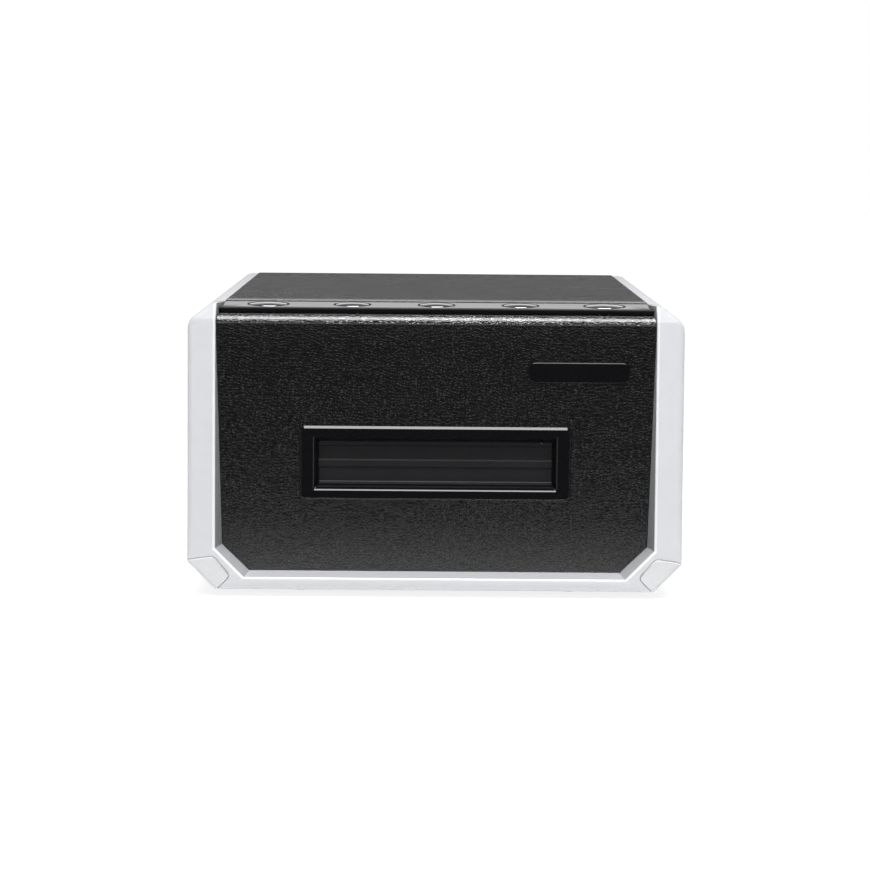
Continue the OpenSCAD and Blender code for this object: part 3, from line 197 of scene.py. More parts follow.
class EffectBook:
    """Builds each effect's node group once."""

    def __init__(self) -> None:
        """Starts with no group built."""
        self.groups: dict[Effect, bpy.types.NodeTree] = {}

    def group(self, effect: Effect) -> bpy.types.NodeTree:
        """Returns the node group of an effect, built on first use."""
        if effect not in self.groups:
            self.groups[effect] = getattr(self, "_" + effect.value)()
        return self.groups[effect]

    def _start(self, name: str, inputs: dict[str, float],
               outputs: tuple[str, ...]) -> tuple[Tree, bpy.types.Node, bpy.types.Node]:
        """Makes an empty group.

        Args:
            name: the group's name.
            inputs: name and default of each number it takes, after its Vector.
            outputs: names of the values it puts out.

        Returns:
            The tree, its input node and its output node.
        """
        group = bpy.data.node_groups.new(name, "ShaderNodeTree")
        group.interface.new_socket("Vector", in_out="INPUT", socket_type="NodeSocketVector")
        for key, value in inputs.items():
            made = group.interface.new_socket(key, in_out="INPUT", socket_type="NodeSocketFloat")
            made.default_value = value
        for key in outputs:
            group.interface.new_socket(key, in_out="OUTPUT", socket_type="NodeSocketFloat")
        tree = Tree(group)
        return tree, group.nodes.new("NodeGroupInput"), group.nodes.new("NodeGroupOutput")

    def _mould_grain(self) -> bpy.types.NodeTree:
        """Fine spark-eroded grain of a moulding, and slow cloudy tone changes.

        Height is noise at Scale. Tone is noise at a thirtieth of Scale, from 0 to 1.
        """
        tree, start, end = self._start("mould_grain", {"Scale": 4000.0}, ("Height", "Tone"))
        scale = start.outputs["Scale"]
        tree.feed(end.inputs["Height"], tree.noise(start.outputs["Vector"], scale, 2.0))
        slow = tree.noise(start.outputs["Vector"], tree.math("DIVIDE", scale, 30.0), 4.0)
        tree.feed(end.inputs["Tone"], tree.remap(slow, (0.3, 0.7), (0.0, 1.0)))
        return tree.tree

    def _pebbles(self) -> bpy.types.NodeTree:
        """Pebbled skin of leatherette: round grains with creases between them.

        The position is bent by noise. Height rises from the creases to the middle of each
        Voronoi cell, with fine and broad noise added. Crease is 1 in the creases and 0 on the
        grains.
        """
        tree, start, end = self._start(
            "pebbles", {"Scale": 1100.0, "Wander": 0.35, "Width": 0.3}, ("Height", "Crease"))
        place, scale = start.outputs["Vector"], start.outputs["Scale"]
        bend = tree.node("TexNoise", {"Vector": place, "Scale": tree.math("MULTIPLY", scale, 0.6)})
        centred = tree.node("VectorMath", {0: bend.outputs["Color"], 1: (0.5, 0.5, 0.5)},
                            operation="SUBTRACT")
        reach = tree.math("DIVIDE", start.outputs["Wander"], tree.math("MULTIPLY", scale, 0.4))
        shift = tree.node("VectorMath", {0: centred.outputs[0], "Scale": reach}, operation="SCALE")
        moved = tree.node("VectorMath", {0: place, 1: shift.outputs[0]}, operation="ADD")
        cells = tree.node("TexVoronoi", {"Vector": moved.outputs[0], "Scale": scale},
                          feature="DISTANCE_TO_EDGE")
        rise = tree.node("MapRange", {0: cells.outputs["Distance"], 2: start.outputs["Width"]},
                         interpolation_type="SMOOTHSTEP").outputs[0]
        fine = tree.noise(place, tree.math("MULTIPLY", scale, 3.0), 2.0)
        broad = tree.noise(place, tree.math("MULTIPLY", scale, 0.6), 1.0)
        grains = tree.math("ADD", rise, tree.math("MULTIPLY", fine, 0.3))
        tree.feed(end.inputs["Height"],
                  tree.math("ADD", grains, tree.math("MULTIPLY", broad, 1.6)))
        tree.feed(end.inputs["Crease"], tree.math("SUBTRACT", 1.0, rise))
        return tree.tree

    def _brush_lines(self) -> bpy.types.NodeTree:
        """Fine drawn lines along X: noise on a position squeezed along X by Stretch."""
        tree, start, end = self._start(
            "brush_lines", {"Scale": 2500.0, "Stretch": 0.03}, ("Height", "Tone"))
        along = tree.node("CombineXYZ", {0: start.outputs["Stretch"], 1: 1.0, 2: 1.0})
        squeezed = tree.node("VectorMath", {0: start.outputs["Vector"], 1: along.outputs[0]},
                             operation="MULTIPLY")
        lines = tree.noise(squeezed.outputs[0], start.outputs["Scale"], 3.0)
        tree.feed(end.inputs["Height"], lines)
        tree.feed(end.inputs["Tone"], tree.remap(lines, (0.3, 0.7), (0.0, 1.0)))
        return tree.tree

    def _handling(self) -> bpy.types.NodeTree:
        """Faint marks of handling: Smudge is stretched noise, raised to leave few spots."""
        tree, start, end = self._start("handling", {"Scale": 60.0}, ("Smudge",))
        spots = tree.noise(start.outputs["Vector"], start.outputs["Scale"], 6.0)
        tree.feed(end.inputs["Smudge"], tree.remap(spots, (0.5, 0.75), (0.0, 1.0)))
        return tree.tree


class Surface:
    """One material under construction: a Principled shader and the nodes that feed it."""

    def __init__(self, name: str, effects: EffectBook) -> None:
        """Makes a material that holds a plain Principled shader.

        Args:
            name: the material's name.
            effects: where shared node groups come from.
        """
        self.material = bpy.data.materials.new(name)
        self.material.use_nodes = True
        self.tree = Tree(self.material.node_tree)
        self.effects = effects
        self.shader = self.material.node_tree.nodes["Principled BSDF"]
        self.place = self.tree.node("TexCoord").outputs["Object"]

    def set(self, **values: object) -> None:
        """Feeds sockets of the shader; underscores in a name stand for spaces."""
        for key, value in values.items():
            self.tree.feed(self.shader.inputs[key.replace("_", " ")], value)

    def effect(self, effect: Effect, **values: float) -> bpy.types.Node:
        """Places a shared effect.

        Args:
            effect: which effect.
            values: its inputs by name.

        Returns:
            The group node.
        """
        return self.tree.node("Group", {"Vector": self.place, **values},
                              node_tree=self.effects.group(effect))

    def bump(self, height: object, distance: float) -> None:
        """Feeds the shader's normal from a height.

        Args:
            height: the height, about 0 to 1.
            distance: depth of a full height step in millimetres.
        """
        made = self.tree.node("Bump", {"Strength": 1.0, "Distance": distance * MM,
                                       "Height": height})
        self.set(Normal=made.outputs[0])


# ---------- finishes ----------


def shade(color: Color, factor: float) -> tuple[float, float, float, float]:
    """Returns a colour made darker or lighter by a factor, with alpha 1."""
    return (color[0] * factor, color[1] * factor, color[2] * factor, 1.0)


@dataclass(frozen=True)
class Finish:
    """A finish: its base colour and its roughness."""

    color: Color
    roughness: float

    def paint(self, name: str, effects: EffectBook) -> bpy.types.Material:
        """Builds the material.

        Args:
            name: the material's name.
            effects: where shared node groups come from.

        Returns:
            The finished material.
        """
        surface = Surface(name, effects)
        self.coat(surface)
        return surface.material

    def coat(self, surface: Surface) -> None:
        """Feeds the shader of a surface."""
        raise NotImplementedError

    def roughened(self, tree: Tree, value: object, extra: float) -> bpy.types.NodeSocket:
        """Returns the roughness, which a value from 0 to 1 raises by up to extra."""
        return tree.remap(value, (0.0, 1.0), (self.roughness, self.roughness + extra))


@dataclass(frozen=True)
class Moulded(Finish):
    """Moulded or painted plastic and rubber with a fine grain."""

    grain: float = 0.25
    depth: float = 0.004
    fleck: float = 0.03
    specular: float = 0.5
    metallic: float = 0.0
    smudge: float = 0.05

    def coat(self, surface: Surface) -> None:
        """Colour clouds by fleck, roughness by smudges, and a grain this many mm across."""
        tree = surface.tree
        grain = surface.effect(Effect.MOULD_GRAIN, Scale=1.0 / (self.grain * MM))
        marks = surface.effect(Effect.HANDLING, Scale=45.0)
        tone = tree.blend(grain.outputs["Tone"], shade(self.color, 1.0 - self.fleck),
                          shade(self.color, 1.0 + self.fleck))
        rough = self.roughened(tree, marks.outputs["Smudge"], self.smudge)
        surface.set(Base_Color=self.tint(surface, tone), Roughness=rough, Metallic=self.metallic,
                    Specular_IOR_Level=self.specular)
        surface.bump(grain.outputs["Height"], self.depth)

    def tint(self, surface: Surface, tone: bpy.types.NodeSocket) -> bpy.types.NodeSocket:
        """Returns the base colour for a grain tone, here the tone itself."""
        return tone


@dataclass(frozen=True)
class Painted(Moulded):
    """Silver paint with a painted highlight on edges and painted shade in recesses, both set by a
    point attribute.
    """

    # colour of the painted highlight on edges
    edge: Color = (0.95, 0.95, 0.96)

    def tint(self, surface: Surface, tone: bpy.types.NodeSocket) -> bpy.types.NodeSocket:
        """Blends the tone toward the edge colour by the attribute as a painted highlight, and
        toward black below zero as painted shade.

        Args:
            surface: the surface under construction.
            tone: the grain's tone.

        Returns:
            The base colour.
        """
        tree = surface.tree
        mark = tree.node("Attribute", attribute_name=PAINTED_LIGHT_ATTRIBUTE).outputs["Fac"]
        # painted highlight: the tone blended toward the edge colour
        highlighted = tree.blend(mark, tone, shade(self.edge, 1.0))
        # painted shade: below zero the tone is blended toward black
        thin = tree.math("MULTIPLY", mark, -1.0)
        return tree.blend(thin, highlighted, (0.0, 0.0, 0.0, 1.0))


@dataclass(frozen=True)
class Pebbled(Finish):
    """Pebbled leatherette under a thin clear coating."""

    pebble: float = 0.9
    depth: float = 0.12
    wander: float = 0.35
    specular: float = 0.5
    # share of the colour kept in the creases: painted shade
    crease: float = 0.5
    coating: float = 0.9
    coat_roughness: float = 0.1
    crease_roughness: float = 0.12
    wear: float = 0.06

    def coat(self, surface: Surface) -> None:
        """Grains stand up from rougher creases, darkened as painted shade, where the coating is
        half as strong.
        """
        tree = surface.tree
        skin = surface.effect(Effect.PEBBLES, Scale=1.0 / (self.pebble * MM), Wander=self.wander)
        marks = surface.effect(Effect.HANDLING, Scale=25.0)
        crease = skin.outputs["Crease"]
        # painted shade: the creases are darkened by the crease factor
        tone = tree.blend(crease, shade(self.color, 1.0), shade(self.color, self.crease))
        worn = tree.math("MULTIPLY", marks.outputs["Smudge"], self.wear)
        rough = tree.math("ADD", self.roughened(tree, crease, self.crease_roughness), worn)
        gloss = tree.remap(crease, (0.0, 1.0), (self.coating, self.coating * 0.5))
        surface.set(Base_Color=tone, Roughness=rough, Specular_IOR_Level=self.specular,
                    Coat_Weight=gloss, Coat_Roughness=self.coat_roughness)
        surface.bump(skin.outputs["Height"], self.depth)


@dataclass(frozen=True)
class Metal(Finish):
    """Bare, plated or turned metal with drawn lines."""

    lines: float = 0.3
    depth: float = 0.002
    spread: float = 0.06
    stretch: float = 0.03

    def coat(self, surface: Surface) -> None:
        """Tone and roughness follow the drawn lines."""
        tree = surface.tree
        brushed = surface.effect(Effect.BRUSH_LINES, Scale=1.0 / (self.lines * MM),
                                 Stretch=self.stretch)
        tone = tree.blend(brushed.outputs["Tone"], shade(self.color, 0.94), shade(self.color, 1.03))
        rough = self.roughened(tree, brushed.outputs["Tone"], self.spread)
        surface.set(Base_Color=tone, Roughness=rough, Metallic=1.0)
        surface.bump(brushed.outputs["Height"], self.depth)


@dataclass(frozen=True)
class BoardLacquer(Finish):
    """Circuit board: lacquer over copper tracks."""

    copper: Color = (0.05, 0.3, 0.13)
    pitch: float = 2.4
    turn: tuple[float, float, float] = (0.7, 0.3, 0.8)
    track_share: float = 0.06

    def coat(self, surface: Surface) -> None:
        """Tracks are the mortar of a brick pattern turned to the board's own plane."""
        tree = surface.tree
        turned = tree.node("Mapping", {"Vector": surface.place, "Rotation": self.turn})
        tracks = tree.node("TexBrick", {
            "Vector": turned.outputs[0], "Scale": 1.0 / (self.pitch * MM),
            "Mortar Size": self.track_share}, offset=0.37)
        grain = surface.effect(Effect.MOULD_GRAIN, Scale=3000.0)
        tone = tree.blend(tracks.outputs["Fac"], shade(self.color, 1.0), shade(self.copper, 1.0))
        rough = self.roughened(tree, grain.outputs["Tone"], 0.1)
        surface.set(Base_Color=tone, Roughness=rough)
        surface.bump(tracks.outputs["Fac"], 0.02)


@dataclass(frozen=True)
class Coated(Finish):
    """Coated optical glass."""

    def coat(self, surface: Surface) -> None:
        """Clear glass with a faint tint that changes slowly over the surface."""
        tree = surface.tree
        marks = surface.effect(Effect.HANDLING, Scale=200.0)
        tone = tree.blend(marks.outputs["Smudge"], shade(self.color, 1.0), shade(self.color, 0.92))
        surface.set(Base_Color=tone, Roughness=self.roughness, Transmission_Weight=1.0, IOR=1.52)


FINISHES: dict[Slot, Finish] = {
    Slot.SILVER: Painted((0.765, 0.775, 0.80), 0.34, grain=0.18, depth=0.003, fleck=0.015,
                         metallic=0.15),
    Slot.BUMPER: Moulded((0.74, 0.745, 0.76), 0.4, grain=0.2, depth=0.003, fleck=0.015),
    Slot.BLACK: Moulded((0.014, 0.014, 0.017), 0.5, grain=0.3, depth=0.01, fleck=0.12,
                        specular=0.4),
    Slot.LEATHER: Pebbled((0.003, 0.003, 0.004), 0.14, pebble=1.05, depth=0.08, specular=1.0),
    Slot.GLOSS: Moulded((0.004, 0.004, 0.005), 0.08, grain=0.6, depth=0.0005, fleck=0.1,
                        smudge=0.04),
    Slot.RUBBER: Moulded((0.014, 0.014, 0.014), 0.72, grain=0.35, depth=0.012, fleck=0.15,
                         specular=0.3),
    Slot.STEEL: Metal((0.62, 0.62, 0.64), 0.24),
    Slot.SHEET_STEEL: Metal((0.52, 0.53, 0.55), 0.38, lines=0.6, spread=0.12, stretch=0.2),
    Slot.CHROME: Metal((0.60, 0.60, 0.62), 0.07, lines=0.25, depth=0.0004, spread=0.05,
                       stretch=1.0),
    Slot.BRASS: Metal((0.72, 0.55, 0.27), 0.28, lines=0.25),
    Slot.GEAR: Moulded((0.80, 0.78, 0.71), 0.42, grain=0.25, depth=0.004, fleck=0.02),
    Slot.BOARD: BoardLacquer((0.02, 0.16, 0.07), 0.32),
    Slot.COMPONENT: Moulded((0.02, 0.02, 0.022), 0.42, grain=0.2, depth=0.006, fleck=0.1),
    Slot.WHITE: Moulded((0.85, 0.85, 0.83), 0.5, grain=0.3, depth=0.004, fleck=0.01),
    Slot.MIRROR: Metal((0.92, 0.92, 0.93), 0.02, lines=2.0, depth=0.0001, spread=0.01,
                       stretch=1.0),
    Slot.LENS: Coated((0.86, 0.93, 0.96), 0.02),
    Slot.CABLE: Moulded((0.70, 0.70, 0.67), 0.45, grain=0.4, depth=0.006, fleck=0.05),
}


class Palette:
    """Paints each slot's material once."""

    def __init__(self) -> None:
        """Starts with no material painted."""
        self.effects = EffectBook()
        self.painted: dict[Slot, bpy.types.Material] = {}

    def material(self, slot: Slot) -> bpy.types.Material:
        """Returns the material of a slot, painted on first use."""
        if slot not in self.painted:
            self.painted[slot] = FINISHES[slot].paint(slot.value + "_finish", self.effects)
        return self.painted[slot]


# ---------- surfaces as whole arrays ----------


def grid_faces(rows: int, columns: int, ring_rows: bool = False,
               ring_columns: bool = False) -> np.ndarray:
    """Quads of a grid of points.

    Point (r, c) has number r * columns + c, and quad (r, c) joins it to its neighbours in
    the next column and the next row. A ring joins the last row or column to the first.

    Args:
        rows: rows of points.
        columns: points in a row.
        ring_rows: the last row joins the first.
        ring_columns: the last column joins the first.

    Returns:
        Face indices, four to a row.
    """
    r, c = np.meshgrid(np.arange(rows if ring_rows else rows - 1),
                       np.arange(columns if ring_columns else columns - 1), indexing="ij")
    r, c = r.ravel(), c.ravel()
    r1, c1 = (r + 1) % rows, (c + 1) % columns
    return np.stack([r * columns + c, r * columns + c1, r1 * columns + c1, r1 * columns + c], 1)


def spread(x: object, y: object, z: object) -> np.ndarray:
    """Joins three coordinates into points, each spread over the shape of all three."""
    return np.stack(np.broadcast_arrays(x, y, z), -1)


@contextmanager
def opened(mesh: bpy.types.Mesh) -> Iterator[bmesh.types.BMesh]:
    """Lends a mesh for editing, then writes it back and shades it smooth."""
    shell = bmesh.new()
    shell.from_mesh(mesh)
    yield shell
    shell.to_mesh(mesh)
    shell.free()
    mesh.shade_smooth()


def new_piece(name: str, points: np.ndarray, faces: np.ndarray,
              painted_light: np.ndarray | None = None) -> bpy.types.Object:
    """Puts points and faces into a new object at the origin.

    Args:
        name: the object's name.
        points: positions in millimetres, three to a row.
        faces: point numbers, one face to a row.
        painted_light: painted light of each point, from -1 for painted shade in a recess
        to 1 for a painted highlight on an edge.

    Returns:
        The object, with its doubles merged and its shading smooth.
    """
    mesh = bpy.data.meshes.new(name)
    mesh.from_pydata((np.asarray(points).reshape(-1, 3) * MM).tolist(), [], faces.tolist())
    # painted highlight and painted shade of each point, kept as a point attribute
    if painted_light is not None:
        mesh.attributes.new(PAINTED_LIGHT_ATTRIBUTE, "FLOAT", "POINT").data.foreach_set(
            "value", np.asarray(painted_light, np.float32).ravel())
    with opened(mesh) as shell:
        bmesh.ops.remove_doubles(shell, verts=shell.verts, dist=MERGE_DISTANCE * MM)
        bmesh.ops.dissolve_degenerate(shell, edges=shell.edges, dist=SHORTEST_EDGE * MM)
    piece = bpy.data.objects.new(name, mesh)
    bpy.context.scene.collection.objects.link(piece)
    return piece


def close_shell(piece: bpy.types.Object, fill: bool, sharp: float | None) -> None:
    """Turns every face of a closed piece outward and marks its sharp edges.

    Args:
        piece: the piece.
        fill: first fill the open rings at its ends with one face each.
        sharp: edges sharper than this many degrees stay sharp, and with None all are smooth.
    """
    with opened(piece.data) as shell:
        if fill:
            open_edges = [edge for edge in shell.edges if len(edge.link_faces) == 1]
            bmesh.ops.edgenet_fill(shell, edges=open_edges)
        bmesh.ops.recalc_face_normals(shell, faces=shell.faces)
    if sharp is not None:
        piece.data.set_sharp_from_angle(angle=math.radians(sharp))


def thicken(piece: bpy.types.Object, thickness: float) -> None:
    """Gives an open sheet a live wall behind its surface, this many millimetres thick."""
    wall = piece.modifiers.new("thickness", "SOLIDIFY")
    wall.thickness = thickness * MM
    wall.offset = -1.0


def join_surfaces(parts: list[Shape]) -> Shape:
    """Puts several (points, faces) pairs into one pair, with the face numbers moved on."""
    counts = np.cumsum([0] + [len(points) for points, _ in parts])
    faces = [made + start for (_, made), start in zip(parts, counts)]
    return np.concatenate([points for points, _ in parts]), np.concatenate(faces)


def arc(centre: tuple[float, float], radius: float, start: float, end: float,
        steps: int) -> np.ndarray:
    """Points of an arc: centre plus radius times cosine and sine of evenly spaced angles.

    Args:
        centre: the arc's centre.
        radius: its radius.
        start: first angle in degrees.
        end: last angle in degrees.
        steps: number of steps between them.

    Returns:
        Points, two to a row.
    """
    angle = np.radians(np.linspace(start, end, steps + 1))
    return np.stack([centre[0] + radius * np.cos(angle), centre[1] + radius * np.sin(angle)], 1)


def revolved(profile: np.ndarray, segments: int) -> Shape:
    """Turns a profile of (radius, height) round the Z axis.

    Point (i, j) is (radius_i cos a_j, radius_i sin a_j, height_i) with a_j evenly round the
    circle. Rows at radius 0 close the poles.

    Args:
        profile: radius and height, two to a row.
        segments: points round the circle.

    Returns:
        Points and faces.
    """
    angle = np.linspace(0.0, 2.0 * np.pi, segments, endpoint=False)
    radius, height = profile[:, :1], profile[:, 1:]
    points = spread(radius * np.cos(angle), radius * np.sin(angle), height)
    return points.reshape(-1, 3), grid_faces(len(profile), segments, ring_columns=True)


def tube(path: np.ndarray, radius: float, sides: int) -> Shape:
    """Carries a circle along a path that never runs along X, closed at both ends.

    At each point the circle lies across the path's direction. Its first axis is the cross
    product of that direction and X, and its second is square to both. The end rings shrink
    to points.

    Args:
        path: positions, three to a row.
        radius: the circle's radius.
        sides: points round the circle.

    Returns:
        Points and faces.
    """
    along = np.gradient(path, axis=0)
    along /= np.linalg.norm(along, axis=1, keepdims=True)
    first = np.cross(along, np.array([1.0, 0.0, 0.0]))
    first /= np.linalg.norm(first, axis=1, keepdims=True)
    second = np.cross(along, first)
    angle = np.linspace(0.0, 2.0 * np.pi, sides, endpoint=False)[None, :, None]
    ring = radius * (np.cos(angle) * first[:, None] + np.sin(angle) * second[:, None])
    rings = np.concatenate([np.repeat(path[:1, None], sides, 1), path[:, None] + ring,
                            np.repeat(path[-1:, None], sides, 1)])
    return rings.reshape(-1, 3), grid_faces(len(rings), sides, ring_columns=True)


def prism(profile: np.ndarray, start: float, end: float) -> Shape:
    """Carries a closed (y, z) outline along X from start to end; the ends are closed later."""
    points = spread(np.array([[start], [end]]), profile[:, 0], profile[:, 1])
    return points.reshape(-1, 3), grid_faces(2, len(profile), ring_columns=True)


def torsion_spring(x: float, centre: tuple[float, float], radius: float, turns: float,
                   pitch: float, legs: tuple[float, float]) -> np.ndarray:
    """Path of a torsion spring round an axis along X.

    The coil is centre plus radius times cosine and sine of the angle while x grows by the
    pitch each turn. A straight leg leaves each end along the coil's tangent.

    Args:
        x: where the coil starts.
        centre: y and z of the axis.
        radius: radius of the coil's middle line.
        turns: number of turns.
        pitch: growth of x in a turn.
        legs: lengths of the first and the last leg.

    Returns:
        Positions, three to a row.
    """
    angle = np.linspace(0.0, 2.0 * np.pi * turns, int(turns * 24) + 1)
    coil = np.stack([x + pitch * angle / (2.0 * np.pi),
                     centre[0] + radius * np.cos(angle), centre[1] + radius * np.sin(angle)], 1)
    ends = []
    for at, leg in ((0, -legs[0]), (-1, legs[1])):
        way = np.array([0.0, -math.sin(angle[at]), math.cos(angle[at])])
        ends.append(coil[at] + way * leg * np.linspace(0.08, 1.0, 10)[:, None])
    return np.concatenate([ends[0][::-1], coil, ends[1]])


def turned_x(points: np.ndarray, degrees: float) -> np.ndarray:
    """Turns points about the X axis: y and z are mixed by the angle's cosine and sine."""
    c, s = math.cos(math.radians(degrees)), math.sin(math.radians(degrees))
    return points @ np.array([[1, 0, 0], [0, c, s], [0, -s, c]], float)


def rounded_rectangle(half_x: float, half_z: float, radius: float, steps: int) -> np.ndarray:
    """Outline of a rectangle whose corners are quarter circles, going round once.

    Args:
        half_x: half its width.
        half_z: half its height.
        radius: radius of the corners.
        steps: steps in each quarter circle.

    Returns:
        Points, two to a row.
    """
    corners = ((1, 1, 0), (-1, 1, 90), (-1, -1, 180), (1, -1, 270))
    return np.concatenate([arc((sx * (half_x - radius), sz * (half_z - radius)), radius,
                               turn, turn + 90, steps) for sx, sz, turn in corners])


def bezier(start: np.ndarray, corner: np.ndarray, end: np.ndarray, steps: int) -> np.ndarray:
    """Rounds corners: (1-t)^2 start + 2t(1-t) corner + t^2 end, for t from 0 to 1.

    Args:
        start: where each rounding starts, one point to a row.
        corner: the sharp corners.
        end: where each rounding ends.
        steps: number of steps.

    Returns:
        Points with shape (rows, steps + 1, 3).
    """
    t = np.linspace(0.0, 1.0, steps + 1)[None, :, None]
    return ((1 - t) ** 2 * start[:, None] + 2 * t * (1 - t) * corner[:, None]
            + t ** 2 * end[:, None])


def polygon_distance(u: np.ndarray, v: np.ndarray, outline: np.ndarray) -> np.ndarray:
    """Signed distance of points (u, v) to a polygon, negative inside.

    The size is the least distance to an edge. The sign comes from counting how many edges a
    ray along +u crosses.

    Args:
        u: first coordinates.
        v: second coordinates.
        outline: corners of the polygon, two to a row.

    Returns:
        Distances in the shape of u.
    """
    nearest = np.full(np.shape(u), np.inf)
    inside = np.zeros(np.shape(u), bool)
    for (u0, v0), (u1, v1) in zip(outline, np.roll(outline, -1, axis=0)):
        du, dv = u1 - u0, v1 - v0
        along = np.clip(((u - u0) * du + (v - v0) * dv) / (du * du + dv * dv), 0.0, 1.0)
        nearest = np.minimum(nearest, np.hypot(u - u0 - along * du, v - v0 - along * dv))
        if dv != 0.0:
            crosses = ((v0 > v) != (v1 > v)) & (u < u0 + (v - v0) * du / dv)
            inside ^= crosses
    return np.where(inside, -nearest, nearest)


def box_surface(low: tuple[float, float, float], high: tuple[float, float, float]) -> Shape:
    """Points and faces of a plain block between two corners, for hidden lugs."""
    x, y, z = (np.array(pair) for pair in zip(low, high))
    points = np.stack(np.meshgrid(x, y, z, indexing="ij"), -1).reshape(-1, 3)
    faces = np.array([[0, 1, 3, 2], [4, 6, 7, 5], [0, 4, 5, 1], [2, 3, 7, 6], [0, 2, 6, 4],
                      [1, 5, 7, 3]])
    return points, faces


def soften(piece: bpy.types.Object, width: float, segments: int, angle: float = 28.0) -> None:
    """Adds a live rounding to a piece's sharp edges.

    Args:
        piece: the piece.
        width: width of the rounding in millimetres.
        segments: faces across it.
        angle: edges sharper than this many degrees are rounded.
    """
    made = piece.modifiers.new("rounded_edges", "BEVEL")
    made.width = width * MM
    made.segments = segments
    made.limit_method = "ANGLE"
    made.angle_limit = math.radians(angle)
    made.use_clamp_overlap = False
    made.harden_normals = True
    made.miter_outer = "MITER_ARC"


# ---------- sub-assemblies ----------


@dataclass
class Assembly:
    """What every sub-assembly can do: make pieces, dress nodes and report them."""

    palette: Palette

    def build(self) -> None:
        """Builds and dresses the sub-assembly."""
        raise NotImplementedError

    def add(self, piece: bpy.types.Object, body: str, slot: Slot, *nodes: str) -> None:
        """Dresses a new piece and puts it in place of CAD nodes.

        Args:
            piece: the new piece, in place.
            body: the CAD body it moves with.
            slot: its material slot.
            nodes: the CAD nodes it stands for.
        """
        piece.data.materials.clear()
        piece.data.materials.append(self.palette.material(slot))
        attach(piece, body)
        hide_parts(*nodes)
        LOG.info("piece %s on %s for %s", piece.name, body, ", ".join(nodes))

    def closed(self, name: str, shape: Shape, body: str, slot: Slot, node: str,
               sharp: float | None = None, fill: bool = False,
               painted_light: np.ndarray | None = None) -> None:
        """Makes a closed piece and puts it in place of a CAD node.

        Args:
            name: the piece's name.
            shape: its points and faces.
            body: the CAD body it moves with.
            slot: its material slot.
            node: the CAD node it stands for.
            sharp: edges sharper than this many degrees stay sharp.
            fill: fill the open rings at its ends.
            painted_light: painted highlight and painted shade of each point, as in new_piece.
        """
        piece = new_piece(name, *shape, painted_light)
        close_shell(piece, fill, sharp)
        self.add(piece, body, slot, node)

    def dress(self, slot: Slot, *nodes: str) -> None:
        """Gives CAD nodes the finish of a slot and leaves their shape as it is."""
        for name in nodes:
            node = frame["nodes"][name]
            node.data.materials.clear()
            node.data.materials.append(self.palette.material(slot))
            LOG.info("node %s in %s", name, slot.value)

    def rounded(self, node: str, slot: Slot, width: float, segments: int) -> None:
        """Copies a CAD node, merges its triangles and rounds its edges.

        Args:
            node: the CAD node that the copy stands for.
            slot: its material slot.
            width: width of the rounding in millimetres.
            segments: faces across the rounding.
        """
        source = frame["nodes"][node].data
        points = np.empty(len(source.vertices) * 3)
        source.vertices.foreach_get("co", points)
        corners = np.empty(len(source.loops), int)
        source.loops.foreach_get("vertex_index", corners)
        piece = new_piece(node + "_rounded", points.reshape(-1, 3) / MM, corners.reshape(-1, 3))
        with opened(piece.data) as shell:
            bmesh.ops.dissolve_limit(shell, angle_limit=math.radians(FLAT_ANGLE),
                                     verts=shell.verts, edges=shell.edges)
        soften(piece, width, segments)
        self.add(piece, "housing", slot, node)


@dataclass
class LeaningAssembly(Assembly):
    """Something that sits on the front panel, which leans back as it goes down."""

    front_y: float = -129.5
    lean: float = 5.2
    top_z: float = 96.0
    recess: float = 0.6
    slot_centre: float = 47.3

    def depth(self, z: np.ndarray) -> np.ndarray:
        """Depth of the flat part of the panel: recess plus the lean's tangent times the drop."""
        return self.recess + (self.top_z - z) * math.tan(math.radians(self.lean))

    def on_panel(self, points: np.ndarray, x: float, z: float) -> np.ndarray:
        """Places local points on the panel: turned by the lean, then moved to (x, z)."""
        moved = turned_x(points, self.lean)
        return moved + np.array([x, self.front_y + float(self.depth(np.array(z))), z])


